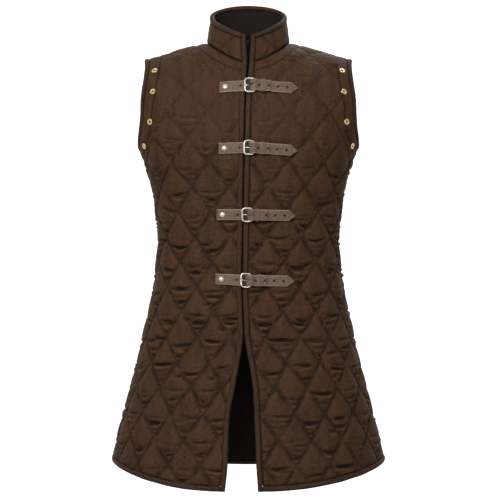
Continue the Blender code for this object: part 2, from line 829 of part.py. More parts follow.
def arc(centre, radius, start, end, steps):
    """Points of a circle's arc, angles in degrees."""
    turns = [math.radians(start + (end - start) * k / steps) for k in range(steps + 1)]
    return [(centre[0] + radius * math.cos(t), centre[1] + radius * math.sin(t)) for t in turns]


def billet_height(along):
    """Height of the billet's middle over the cloth, on straight lines between the table's rows."""
    here = min(max(along, BILLET_RISE[0].along), BILLET_RISE[-1].along)
    low = max(i for i in range(len(BILLET_RISE) - 1) if BILLET_RISE[i].along <= here)
    start, end = BILLET_RISE[low], BILLET_RISE[low + 1]
    return start.middle + (end.middle - start.middle) * (here - start.along) / (end.along - start.along)


def billet_place(share):
    """Distance along the billet of a share of its stations, which lie closest over the buckle."""
    arch_share = 1 - 2 * BILLET_FLAT_SHARE
    if share < BILLET_FLAT_SHARE:
        return BILLET_START + (BILLET_ARCH_START - BILLET_START) * share / BILLET_FLAT_SHARE
    if share < BILLET_FLAT_SHARE + arch_share:
        step = (share - BILLET_FLAT_SHARE) / arch_share
        return BILLET_ARCH_START + (BILLET_ARCH_END - BILLET_ARCH_START) * step
    step = (share - BILLET_FLAT_SHARE - arch_share) / BILLET_FLAT_SHARE
    return BILLET_ARCH_END + (BILLET_TIP - BILLET_ARCH_END) * step


def slot_cutter(name, ends, group):
    """A straight slot for the prong, between two places along the strap."""
    slot = bmesh.new()
    size = Matrix.Diagonal((ends[1] - ends[0], 2 * PRONG_SLOT_HALF_WIDTH, CUT_DEPTH, 1.0))
    middle = Matrix.Translation(((ends[0] + ends[1]) / 2, 0.0, 0.0))
    bmesh.ops.create_cube(slot, size=1.0, matrix=middle @ size)
    cutter(name, slot, group)


def billet():
    """The punched strap: flat at its ends, over the heel bar, the chape and the prong in between."""
    bm = bmesh.new()
    bmesh.ops.create_grid(bm, x_segments=BILLET_STATIONS, y_segments=2, size=0.5)
    level = bm.verts.layers.int.new("level")
    grown = bmesh.ops.extrude_face_region(bm, geom=bm.faces[:], use_keep_orig=True)
    for item in grown["geom"]:
        if isinstance(item, bmesh.types.BMVert):
            item[level] = 1
    for vert in bm.verts:
        along = billet_place(vert.co.x + 0.5)
        taper = max(along - BILLET_POINT_START, 0.0) / (BILLET_TIP - BILLET_POINT_START)
        half = STRAP_HALF_WIDTH + (BILLET_TIP_HALF_WIDTH - STRAP_HALF_WIDTH) * taper
        off = billet_height(along) + BILLET_THICKNESS * (vert[level] - 0.5)
        vert.co = (along, 2 * vert.co.y * half, off)
    strap = bpy.data.objects.new("flat", mesh_from(bm, "flat"))
    bpy.context.scene.collection.objects.link(strap)
    group = cutter_group("billet_cutters")
    for place in BILLET_HOLES:
        hole = bmesh.new()
        bmesh.ops.create_cone(
            hole,
            cap_ends=True,
            segments=EYELET_SIDES,
            radius1=BILLET_HOLE_RADIUS,
            radius2=BILLET_HOLE_RADIUS,
            depth=CUT_DEPTH,
            matrix=Matrix.Translation((place, 0.0, 0.0)),
        )
        cutter("punched_hole", hole, group)
    slot_cutter("prong_hole", BILLET_SLOT, group)
    cut(strap, group)
    return as_mesh(strap)


def chape():
    """The short folded strap that holds the buckle by its heel bar, slotted for the prong."""
    heel = (FRAME_HALF_LENGTH, HEEL_HEIGHT)
    half = CHAPE_THICKNESS / 2
    turns = (90, 270, 6)
    outer = arc(heel, CHAPE_LOOP_RADIUS + half, *turns)
    inner = arc(heel, CHAPE_LOOP_RADIUS - half, *turns)
    profile = [
        (CHAPE_END, CHAPE_UPPER + half),
        (CHAPE_MEET, CHAPE_UPPER + half),
        *outer,
        (CHAPE_END, CHAPE_LOWER - half),
        (CHAPE_END, CHAPE_LOWER + half),
        *inner[::-1],
        (CHAPE_MEET, CHAPE_UPPER - half),
        (CHAPE_END, CHAPE_UPPER - half),
    ]
    mesh = outline(profile, CHAPE_HALF_WIDTH)
    mesh.transform(Matrix.Rotation(math.pi / 2, 4, "X"))
    strap = bpy.data.objects.new("flat", mesh)
    bpy.context.scene.collection.objects.link(strap)
    group = cutter_group("chape_cutter")
    slot_cutter("prong_slot", CHAPE_SLOT, group)
    cut(strap, group)
    return as_mesh(strap)


def keeper(start):
    """The fixed loop over the billet, its feet down beside the strap."""
    wide = KEEPER_INNER_HALF_WIDTH
    outer = wide + KEEPER_THICKNESS
    top = KEEPER_INNER_TOP
    bridge = [
        (-outer, KEEPER_FOOT),
        (-outer, top),
        (-wide, top + KEEPER_THICKNESS),
        (wide, top + KEEPER_THICKNESS),
        (outer, top),
        (outer, KEEPER_FOOT),
        (wide, KEEPER_FOOT),
        (wide, top - KEEPER_THICKNESS / 2),
        (wide - KEEPER_THICKNESS / 2, top),
        (-wide + KEEPER_THICKNESS / 2, top),
        (-wide, top - KEEPER_THICKNESS / 2),
        (-wide, KEEPER_FOOT),
    ]
    mesh = outline(bridge, KEEPER_LENGTH / 2)
    stand_up = Matrix(((0, 0, 1, 0), (1, 0, 0, 0), (0, 1, 0, 0), (0, 0, 0, 1)))
    mesh.transform(Matrix.Translation((start + KEEPER_LENGTH / 2, 0.0, 0.0)) @ stand_up)
    return mesh


def buckle():
    """The wire frame, its heel bar on the wearer's left and its far bar raised over the billet."""
    path = []
    for corner, (sx, sy) in enumerate(((1, 1), (-1, 1), (-1, -1), (1, -1))):
        centre = (sx * (FRAME_HALF_LENGTH - FRAME_CORNER), sy * (FRAME_HALF_WIDTH - FRAME_CORNER))
        path += arc(centre, FRAME_CORNER, 90 * corner, 90 * corner + 90, 3)
        if corner % 2:
            path.append((sx * FRAME_HALF_LENGTH, 0.0))
    tilt = (HEEL_HEIGHT - FAR_BAR_HEIGHT) / (2 * FRAME_HALF_LENGTH)
    middle = (HEEL_HEIGHT + FAR_BAR_HEIGHT) / 2
    return rod([(x, y, middle + tilt * x) for x, y in path], WIRE_RADIUS, 1, cyclic=True)


def prong():
    """The tongue: looped round the heel bar, then straight to rest on the far bar."""
    heel = (FRAME_HALF_LENGTH, HEEL_HEIGHT)
    loop = arc(heel, PRONG_LOOP_RADIUS, -150, 90, 7)
    rest = FAR_BAR_HEIGHT + WIRE_RADIUS + SEAM + PRONG_RADIUS
    shank = [(-FRAME_HALF_LENGTH, rest), (PRONG_TIP, rest - PRONG_RADIUS)]
    return rod([(along, 0.0, off) for along, off in loop + shank], PRONG_RADIUS, 1)


def rivet():
    """The domed rivet head, turned."""
    steps = 4
    dome = [(RIVET_RADIUS * math.sin(t), RIVET_HEIGHT * math.cos(t)) for t in
            (math.pi / 2 * k / steps for k in range(steps + 1))]
    profile = [*dome, (0.0, 0.0)]
    line = bpy.data.meshes.new("rivet")
    line.from_pydata([(r, 0.0, h) for r, h in profile], [(k, k + 1) for k in range(len(profile) - 1)], [])
    head = bpy.data.objects.new("flat", line)
    bpy.context.scene.collection.objects.link(head)
    turned = head.modifiers.new("turned", "SCREW")
    turned.steps = RIVET_SIDES
    turned.render_steps = RIVET_SIDES
    turned.use_merge_vertices = True
    turned.merge_threshold = 0.00001
    head.matrix_world = Matrix.Translation((RIVET_PLACE, 0.0, RIVET_BASE))
    return as_mesh(head)


def make_straps():
    """Four straps, each a billet, a chape, a keeper, a buckle with its prong, and a rivet."""
    for number, strap in enumerate(STRAPS, 1):
        lay(f"billet_{number}", billet(), strap, LEATHER)
        lay(f"chape_{number}", chape(), strap, LEATHER)
        lay(f"keeper_{number}", keeper(strap.keeper_start), strap, LEATHER)
        lay(f"buckle_{number}", buckle(), strap, NICKEL)
        lay(f"prong_{number}", prong(), strap, NICKEL)
        lay(f"rivet_{number}", rivet(), strap, BRASS)


make_body()
make_eyelets()
make_straps()
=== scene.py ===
"""Looks of a sleeveless quilted gambeson: quilted cloth, rolled bindings, eyelets and buckled straps.

Metres, +Z up, the front faces -Y. Left and right are the wearer's.
"""

import math
from collections import namedtuple

import bmesh
import bpy
import numpy as np
from mathutils import Matrix, Vector


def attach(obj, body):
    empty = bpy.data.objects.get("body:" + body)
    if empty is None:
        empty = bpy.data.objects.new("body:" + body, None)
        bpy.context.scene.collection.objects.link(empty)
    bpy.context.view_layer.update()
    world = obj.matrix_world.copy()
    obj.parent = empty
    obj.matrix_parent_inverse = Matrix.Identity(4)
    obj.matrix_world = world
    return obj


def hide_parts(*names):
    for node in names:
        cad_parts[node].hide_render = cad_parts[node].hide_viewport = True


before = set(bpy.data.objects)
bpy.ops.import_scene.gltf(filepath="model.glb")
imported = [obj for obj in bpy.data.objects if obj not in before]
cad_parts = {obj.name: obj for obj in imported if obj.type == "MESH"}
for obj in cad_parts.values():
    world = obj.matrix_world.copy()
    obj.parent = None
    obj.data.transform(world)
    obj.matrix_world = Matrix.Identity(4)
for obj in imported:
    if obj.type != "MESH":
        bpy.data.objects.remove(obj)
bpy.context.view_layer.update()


# --- Floor, backdrop, camera and lights ------------------------------------------------------------
# A matt grey floor where the wearer's feet would stand, and a glowing white backdrop behind. A soft
# light hangs high in front, a weaker one high behind, and a weak one fills from each side; the room's
# own light is weakest from below.

FLOOR_HEIGHT = -1.48
FLOOR_HALF_WIDTH = 9.0
BACKDROP_PLACE = 3.2
BACKDROP_SUNK = 0.5
BACKDROP_GLOW = 1.05
BACKDROP_WHITE = "#FFFFFF"
CAMERA_PLACE = (0.003, -2.6, -0.383)
CAMERA_LENS = 101.0
CAMERA_SENSOR = 36.0
FLOOR_PAINT = "#9C9A97"
FLOOR_ROUGHNESS = 0.9
ROOM_OVERHEAD = "#ABA9A6"
ROOM_LEVEL = "#A9A7A4"
ROOM_BELOW = "#4E4C4A"

Lamp = namedtuple("Lamp", "name place aim size power")
LAMPS = (
    Lamp("key", (-0.5, -2.15, 0.72), (0.0, 0.0, -0.40), 1.0, 51.0),
    Lamp("fill_left", (-2.6, -1.9, 0.2), (0.0, 0.0, -0.40), 1.4, 10.0),
    Lamp("fill_right", (2.6, -1.9, 0.4), (0.0, 0.0, -0.40), 1.4, 8.0),
    Lamp("back_light", (0.7, 2.2, 2.1), (0.0, 0.0, -0.40), 1.3, 35.0),
)


def linear(paint):
    """Linear red, green, blue and alpha of an sRGB hex colour."""
    parts = [int(paint[k : k + 2], 16) / 255 for k in (1, 3, 5)]
    return (*(c / 12.92 if c <= 0.04045 else ((c + 0.055) / 1.055) ** 2.4 for c in parts), 1.0)


def fill(node, sockets):
    """Set a node's inputs, each to a value, to another node's output, or to that node's first one."""
    for name, value in sockets.items():
        if isinstance(value, bpy.types.Node):
            value = next(output for output in value.outputs if output.enabled)
        if isinstance(value, bpy.types.NodeSocket):
            node.id_data.links.new(value, node.inputs[name])
        else:
            node.inputs[name].default_value = value


def add_node(tree, kind, sockets, **settings):
    """Add a shader node with its settings and inputs."""
    made = tree.nodes.new("ShaderNode" + kind)
    for name, value in settings.items():
        setattr(made, name, value)
    fill(made, sockets)
    return made


def new_material(name):
    """A material with only a Principled shader; returns the material, its tree and the shader."""
    made = bpy.data.materials.new(name)
    made.use_nodes = True
    return made, made.node_tree, made.node_tree.nodes["Principled BSDF"]


bpy.ops.object.select_all(action="DESELECT")
bpy.ops.mesh.primitive_plane_add(size=2 * FLOOR_HALF_WIDTH, location=(0.0, 0.0, FLOOR_HEIGHT))
floor = bpy.context.object
floor.name = "floor"
floor_paint, tree, shader = new_material("matt_grey_floor_paint")
fill(shader, {"Base Color": linear(FLOOR_PAINT), "Roughness": FLOOR_ROUGHNESS})
floor.data.materials.append(floor_paint)

bpy.ops.mesh.primitive_plane_add(
    size=2 * FLOOR_HALF_WIDTH,
    location=(0.0, BACKDROP_PLACE, FLOOR_HEIGHT + FLOOR_HALF_WIDTH - BACKDROP_SUNK),
    rotation=(math.pi / 2, 0.0, 0.0),
)
backdrop = bpy.context.object
backdrop.name = "backdrop"
backdrop_paint, tree, shader = new_material("glowing_white_backdrop")
white = linear(BACKDROP_WHITE)
fill(shader, {"Base Color": linear(FLOOR_PAINT), "Emission Color": white, "Emission Strength": BACKDROP_GLOW})
backdrop.data.materials.append(backdrop_paint)

world = bpy.data.worlds.new("studio")
world.use_nodes = True
tree = world.node_tree
sky = add_node(tree, "TexCoord", {}).outputs["Generated"]
aim = add_node(tree, "SeparateXYZ", {"Vector": sky})
level = add_node(tree, "MapRange", {"Value": aim.outputs["Z"], "From Min": -1.0, "From Max": 1.0})
glow = add_node(tree, "ValToRGB", {"Fac": level})
glow.color_ramp.elements[0].color = linear(ROOM_BELOW)
glow.color_ramp.elements[1].color = linear(ROOM_OVERHEAD)
level_ring = glow.color_ramp.elements.new(0.5)
level_ring.color = linear(ROOM_LEVEL)
fill(tree.nodes["Background"], {"Color": glow})
bpy.context.scene.world = world
bpy.context.scene.view_settings.view_transform = "Standard"

for lamp in LAMPS:
    light = bpy.data.lights.new(lamp.name, "AREA")
    light.size = lamp.size
    light.energy = lamp.power
    shining = bpy.data.objects.new(lamp.name, light)
    shining.location = lamp.place
    toward = Vector(lamp.aim) - Vector(lamp.place)
    shining.rotation_euler = toward.to_track_quat("-Z", "Y").to_euler()
    bpy.context.scene.collection.objects.link(shining)

camera = bpy.data.objects.new("camera", bpy.data.cameras.new("camera"))
camera.data.lens = CAMERA_LENS
camera.data.sensor_width = CAMERA_SENSOR
camera.location = CAMERA_PLACE
camera.rotation_euler = (math.radians(90), 0.0, 0.0)
bpy.context.scene.collection.objects.link(camera)
bpy.context.scene.camera = camera


# --- Quilted fronts and back -----------------------------------------------------------------------
# Brushed brown cotton over about 5 mm of wadding, stitched through in tall diamonds. The stitching
# pulls sharp valleys, and the cloth puckers crosswise in the lower half of each diamond.
# The outer form is worked out from the garment's sections; heights are from the side neck points.

Section = namedtuple("Section", "height half_width front_depth back_depth")
SECTIONS = (
    Section(-0.830, 0.2670, 0.169, 0.160),
    Section(-0.770, 0.2520, 0.161, 0.152),
    Section(-0.660, 0.2245, 0.146, 0.137),
    Section(-0.550, 0.1965, 0.131, 0.121),
    Section(-0.450, 0.1765, 0.119, 0.106),
    Section(-0.370, 0.1680, 0.114, 0.097),
    Section(-0.300, 0.1740, 0.118, 0.098),
    Section(-0.240, 0.1860, 0.123, 0.104),
    Section(-0.192, 0.2035, 0.125, 0.109),
    Section(-0.150, 0.2140, 0.121, 0.111),
    Section(-0.110, 0.2210, 0.115, 0.111),
    Section(-0.070, 0.2220, 0.104, 0.110),
    Section(-0.030, 0.2220, 0.092, 0.109),
    Section(0.030, 0.2220, 0.080, 0.109),
)
SQUARENESS = 2.5
SLOPE_STEP = 0.001

# Front opening: how far its middle lies to the wearer's left, and how wide it stands open.
Opening = namedtuple("Opening", "height middle gap")
OPENINGS = (
    Opening(-0.800, -0.0118, 0.0565),
    Opening(-0.756, -0.0111, 0.0493),
    Opening(-0.673, -0.0110, 0.0420),
    Opening(-0.617, -0.0076, 0.0281),
    Opening(-0.530, -0.0080, 0.0003),
    Opening(-0.450, -0.0110, 0.0003),
    Opening(-0.370, -0.0100, 0.0003),
    Opening(-0.240, -0.0080, 0.0003),
    Opening(-0.100, -0.0045, 0.0003),
    Opening(-0.045, 0.0000, 0.0023),
    Opening(0.005, 0.0000, 0.0065),
)

NECK_HALF_WIDTH = 0.0777
SHOULDER_FALL = 0.274
RIDGE_RISE = 0.028
ROLL_HEIGHT = 0.13
NECK_ROLL = {"front": math.radians(64), "back": math.radians(25)}
ARMHOLE_MIDDLE = -0.1147
ARMHOLE_HALF_HEIGHT = 0.0853
ARMHOLE_REACH = {"front": 0.068, "back": 0.065}
ARMHOLE_SCOOP = {"front": 0.016, "back": 0.0}
ARMHOLE_INSIDE = 0.12
ARMHOLE_HALVINGS = 40
UNDERARM = ARMHOLE_MIDDLE - ARMHOLE_HALF_HEIGHT
HEM_CENTRE = -0.794
HEM_SIDE = -0.759

SEAM = 0.0003
QUILT_THICKNESS = 0.0050
LINING_THICKNESS = 0.0012
WALL_THICKNESS = QUILT_THICKNESS + SEAM + LINING_THICKNESS
BINDING_WIDTH = 0.0090

# Rows of the armhole's height, from the underarm to the corner at the neck, and on to the shoulder.
EDGE_ROWS = 4
NECK_ROWS = 5
UPPER_ROWS = EDGE_ROWS + NECK_ROWS


def smooth(table, column, height):
    """Values of a table's column at heights, on a smooth curve through its rows."""
    z = np.array([row.height for row in table])
    v = np.array([getattr(row, column) for row in table])
    here = np.clip(height, z[0], z[-1])
    low = np.clip(np.searchsorted(z, here, side="right") - 1, 0, len(z) - 2)
    before = np.maximum(np.arange(len(z)) - 1, 0)
    after = np.minimum(np.arange(len(z)) + 1, len(z) - 1)
    slope = (v[after] - v[before]) / (z[after] - z[before])
    span = z[low + 1] - z[low]
    k = (here - z[low]) / span
    start = (1 + 2 * k) * (1 - k) ** 2 * v[low] + k * (1 - k) ** 2 * span * slope[low]
    end = k * k * (3 - 2 * k) * v[low + 1] + k * k * (k - 1) * span * slope[low + 1]
    return start + end


def ridge(x):
    """Height of the shoulder line, and its slope: a dome over the neck, then a straight fall."""
    k = np.minimum(x / NECK_HALF_WIDTH, 1.0)
    fall = -SHOULDER_FALL * NECK_HALF_WIDTH
    dome = RIDGE_RISE * (1 - 3 * k**2 + 2 * k**3) + fall * (k**3 - k**2)
    dome_slope = (RIDGE_RISE * (6 * k**2 - 6 * k) + fall * (3 * k**2 - 2 * k)) / NECK_HALF_WIDTH
    outside = x >= NECK_HALF_WIDTH
    line = np.where(outside, -SHOULDER_FALL * (x - NECK_HALF_WIDTH), dome)
    return line, np.where(outside, -SHOULDER_FALL, dome_slope)


def face_point(face, x, z):
    """Points of the front or back face at distances from the centre and heights."""
    width = smooth(SECTIONS, "half_width", z)
    depth = smooth(SECTIONS, f"{face}_depth", z)
    drop = np.clip((ridge(np.abs(x))[0] - z) / ROLL_HEIGHT, 0.0, 1.0)
    plan = np.maximum(1 - (np.abs(x) / width) ** SQUARENESS, 0.0) ** (1 / SQUARENESS)
    y = depth * plan * np.sqrt(drop * (2 - drop))
    return np.stack([x + 0 * z, -y if face == "front" else y, z + 0 * x], axis=-1)


def face_normal(face, x, z):
    """Outward normals there, from the slopes of the plan, the sections and the shoulder roll."""
    step = SLOPE_STEP
    column = f"{face}_depth"
    width = smooth(SECTIONS, "half_width", z)
    depth = smooth(SECTIONS, column, z)
    above, below = smooth(SECTIONS, "half_width", z + step), smooth(SECTIONS, "half_width", z - step)
    width_slope = (above - below) / (2 * step)
    above, below = smooth(SECTIONS, column, z + step), smooth(SECTIONS, column, z - step)
    depth_slope = (above - below) / (2 * step)
    line, line_slope = ridge(np.abs(x))
    drop = np.clip((line - z) / ROLL_HEIGHT, 0.0, 1.0)
    roll = np.sqrt(drop * (2 - drop))
    across = np.minimum(np.abs(x) / width, 1.0)
    plan = (1 - across**SQUARENESS) ** (1 / SQUARENESS)
    side = roll**2 * depth * across ** (SQUARENESS - 1) / width
    ahead = plan ** (SQUARENESS - 1)
    over = plan * depth * (1 - drop) / ROLL_HEIGHT
    rise = -side * across * width_slope + ahead * (over - plan * depth_slope * roll**2)
    out = -1.0 if face == "front" else 1.0
    normal = np.stack([(side - ahead * over * line_slope) * np.sign(x), ahead * roll * out, rise], axis=-1)
    return unit(normal)


def unit(vectors):
    """Vectors of length one."""
    return vectors / np.maximum(np.linalg.norm(vectors, axis=-1, keepdims=True), 1e-12)


def roll_angle(x, z):
    """How far a point has rolled down from the shoulder line, as an angle that goes on growing below."""
    drop = (ridge(x)[0] - z) / ROLL_HEIGHT
    return np.where(drop < 1, np.arccos(np.clip(1 - drop, -1, 1)), math.pi / 2 + drop - 1)


def roll_height(x, angle):
    """Height of the point at x with that roll angle."""
    drop = np.where(angle < math.pi / 2, 1 - np.cos(angle), 1 + angle - math.pi / 2)
    return ridge(x)[0] - drop * ROLL_HEIGHT


def opening_edge(side, z):
    """Distance from the centre line to one front's finished edge, measured towards that side."""
    gap = np.maximum(smooth(OPENINGS, "gap", z), SEAM)
    return side * smooth(OPENINGS, "middle", z) + gap / 2


def neck_start(side):
    """Distance from the centre to the panel's corner at the neck."""
    return float(opening_edge(side, OPENINGS[-2].height)) + BINDING_WIDTH + SEAM


def neck_height(face, x):
    """Height of the neckline at a distance from the centre."""
    share = np.sqrt(np.maximum(1 - (x / NECK_HALF_WIDTH) ** 2, 0.0))
    roll = np.arcsin(math.sin(NECK_ROLL[face]) * share)
    return ridge(x)[0] - ROLL_HEIGHT * (1 - np.cos(roll))


def armhole_edge(face, share):
    """Distance from the centre and height of the armhole's edge, from the underarm up."""
    turn = np.pi * (share - 0.5)
    z = ARMHOLE_MIDDLE + ARMHOLE_HALF_HEIGHT * np.sin(turn)
    wanted = (ARMHOLE_REACH[face] - ARMHOLE_SCOOP[face] * np.sin(turn)) * np.cos(turn)
    near = np.full_like(z, ARMHOLE_INSIDE)
    far = np.minimum(smooth(SECTIONS, "half_width", z), NECK_HALF_WIDTH - z / SHOULDER_FALL)
    for _ in range(ARMHOLE_HALVINGS):
        middle = (near + far) / 2
        too_deep = np.abs(face_point(face, middle, z)[..., 1]) > wanted
        near = np.where(too_deep, middle, near)
        far = np.where(too_deep, far, middle)
    return near, z


def centre_edge(face, side, row):
    """Distance from the centre and height of a panel's inner edge, from the underarm's height up."""
    start = neck_start(side) if face == "front" else 0.0
    low_z = UNDERARM + (neck_height(face, start) - UNDERARM) * np.minimum(row / EDGE_ROWS, 1.0)
    low_x = opening_edge(side, low_z) + BINDING_WIDTH + SEAM if face == "front" else 0.0 * low_z
    first = math.asin(start / NECK_HALF_WIDTH)
    turn = first + (math.pi / 2 - first) * np.clip(row - EDGE_ROWS, 0, NECK_ROWS) / NECK_ROWS
    neck_x = NECK_HALF_WIDTH * np.sin(turn)
    below = row < EDGE_ROWS
    return np.where(below, low_x, neck_x), np.where(below, low_z, neck_height(face, neck_x))


# Collar: the half width and reach of its top edge, and the heights of its top.
COLLAR_HALF_WIDTH = 0.0710
COLLAR_REACH = {"front": 0.0720, "back": 0.0460}
COLLAR_FRONT_TOP = -0.004
COLLAR_SIDE_TOP = 0.043
COLLAR_BACK_TOP = 0.068
COLLAR_SLOPE_POWER = 1.1


def collar_form(front_columns, back_columns, rows):
    """Outer points and normals of the collar, columns from its left front edge round to its right one."""
    first = math.asin(neck_start(1) / NECK_HALF_WIDTH)
    top_edge = float(opening_edge(1, OPENINGS[-1].height)) + BINDING_WIDTH + SEAM
    first_top = math.asin(top_edge / COLLAR_HALF_WIDTH)
    parts = []
    for face, columns in (("front", front_columns), ("back", back_columns)):
        share = np.arange(columns + 1) / columns
        if face == "front":
            turn = first + (math.pi / 2 - first) * share
            top_turn = first_top + (math.pi / 2 - first_top) * share
            climb = (top_turn / (math.pi / 2)) ** COLLAR_SLOPE_POWER
            top_z = COLLAR_FRONT_TOP + (COLLAR_SIDE_TOP - COLLAR_FRONT_TOP) * climb
        else:
            turn = top_turn = math.pi / 2 * (1 + share)
            top_z = COLLAR_SIDE_TOP - (COLLAR_BACK_TOP - COLLAR_SIDE_TOP) * np.cos(top_turn)
        x = np.minimum(NECK_HALF_WIDTH * np.sin(turn), NECK_HALF_WIDTH)
        base = face_point(face, x, neck_height(face, x))
        top_y = -COLLAR_REACH[face] * np.cos(top_turn)
        top = np.stack([COLLAR_HALF_WIDTH * np.sin(top_turn), top_y, top_z], axis=-1)
        parts.append((base, top) if face == "front" else (base[1:], top[1:]))
    base = np.concatenate([part[0] for part in parts])
    top = np.concatenate([part[1] for part in parts])
    base = base + unit(top - base) * 2 * SEAM
    half = base + (top - base) * (np.arange(rows + 1) / rows)[:, None, None]
    half[:, -1, 0] = 0.0
    points = np.concatenate([half, half[:, -2::-1] * np.array((-1.0, 1.0, 1.0))], axis=1)
    normals = unit(np.cross(np.gradient(points, axis=1), np.gradient(points, axis=0)))
    return points, normals


def mitre(one, other):
    """Inward vectors on which two walls meet, one unit deep for each."""
    return -(one + other) / (1 + (one * other).sum(-1, keepdims=True))


def panel_places(face, side, columns, torso_rows, rows_each):
    """Places (x, z) of one half panel's grid, rows from the hem to the shoulder seam."""
    shares = np.sin(np.pi / 2 * np.arange(columns + 1) / columns)
    climb = np.arange(torso_rows)[:, None] / torso_rows
    inner = HEM_CENTRE + (UNDERARM - HEM_CENTRE) * climb
    outer = HEM_SIDE + (UNDERARM - HEM_SIDE) * climb
    start = opening_edge(side, inner) + BINDING_WIDTH + SEAM if face == "front" else 0.0 * inner
    end = smooth(SECTIONS, "half_width", outer)
    torso_x = start + (end - start) * shares
    torso_z = inner + (outer - inner) * shares**2
    row = np.arange(UPPER_ROWS * rows_each + 1) / rows_each
    x0, z0 = centre_edge(face, side, row)
    x1, z1 = armhole_edge(face, row / UPPER_ROWS)
    roll0, roll1 = roll_angle(x0, z0), roll_angle(x1, z1)
    upper_x = x0[:, None] + (x1 - x0)[:, None] * shares
    rolled = roll_height(upper_x, roll0[:, None] + (roll1 - roll0)[:, None] * shares)
    level = z0[:, None] + (z1 - z0)[:, None] * shares
    rolled_share = np.clip(row, 0.0, 1.0)[:, None]
    upper_z = level + (rolled - level) * rolled_share
    return np.concatenate([torso_x, upper_x]), np.concatenate([torso_z, upper_z])


# The stitched diamonds: half their width at each height, their height, and how deep the valleys lie.
Lattice = namedtuple("Lattice", "height half_width depth")
LATTICE = (
    Lattice(-0.800, 0.0300, 0.0052),
    Lattice(-0.600, 0.0300, 0.0054),
    Lattice(-0.450, 0.0315, 0.0054),
    Lattice(-0.340, 0.0325, 0.0052),
    Lattice(-0.220, 0.0355, 0.0046),
    Lattice(-0.130, 0.0370, 0.0035),
    Lattice(-0.030, 0.0370, 0.0023),
)
DIAMOND_HEIGHT = 0.0887
DIAMOND_CROSSING = -0.1824
PUFF_TOP = 0.0020
VALLEY_REACH = 0.0052
EDGE_DIP = -0.0016
EDGE_REACH = 0.0030
SEAM_DIP = -0.0014
SEAM_REACH = 0.0045
EDGE_SHADE_REACH = 0.0026
ARMHOLE_BAND = 0.0230
NECK_BAND = 0.0200
BAND_STITCH_DEPTH = 0.0017
BAND_STITCH_REACH = 0.0040
BAND_SHADE_REACH = 0.0020
BAND_FADE = 0.0040
BAND_LIFT = 0.0008

# Puckers in the lower part of each diamond: how strong they are at each height.
Pucker = namedtuple("Pucker", "height strength")
PUCKERS = (
    Pucker(-0.800, 1.00),
    Pucker(-0.640, 1.10),
    Pucker(-0.540, 1.30),
    Pucker(-0.360, 1.35),
    Pucker(-0.280, 1.00),
    Pucker(-0.210, 0.60),
    Pucker(-0.120, 0.30),
    Pucker(0.000, 0.20),
)
PUCKER_DEPTH = 0.0036
PUCKER_WIDTH = 0.0024
PUCKERS_EACH = 9
PUCKER_LOWEST = 0.06
PUCKER_HIGHEST = 0.46
PUCKER_TILT = 0.14
PUCKER_RIDGE = 0.55
PUCKER_RIDGE_PLACE = 1.7
CREASE_RIDGE = 0.45
CREASE_RIDGE_PLACE = 1.8
CREASE_SHADE = 0.8
RIPPLE_DEPTH = 0.0010
RIPPLE_LENGTH = 0.0095
RIPPLE_PATCH_LENGTH = 0.06
RIPPLE_DRIFT = 1.5
RIPPLE_DRIFT_LENGTH = 0.035
RIPPLE_SHADE = 0.35
RIPPLE_NEAR = 0.0012
RIPPLE_FAR = 0.0060
SWELL = 0.0010
SWELL_LENGTH = 0.085
SWELL_WAVES = 8
SWELL_CREST = 3.2
FADING_LENGTH = 0.028
WOBBLE = 0.0016
WOBBLE_LENGTH = 0.11
LOWEST_LIFT = -0.0042
HIGHEST_LIFT = 0.0032
FULLY_SHOWN_DEPTH = 0.0050
STITCH_SHADE_REACH = 0.0028
TABLE_SIZE = 64

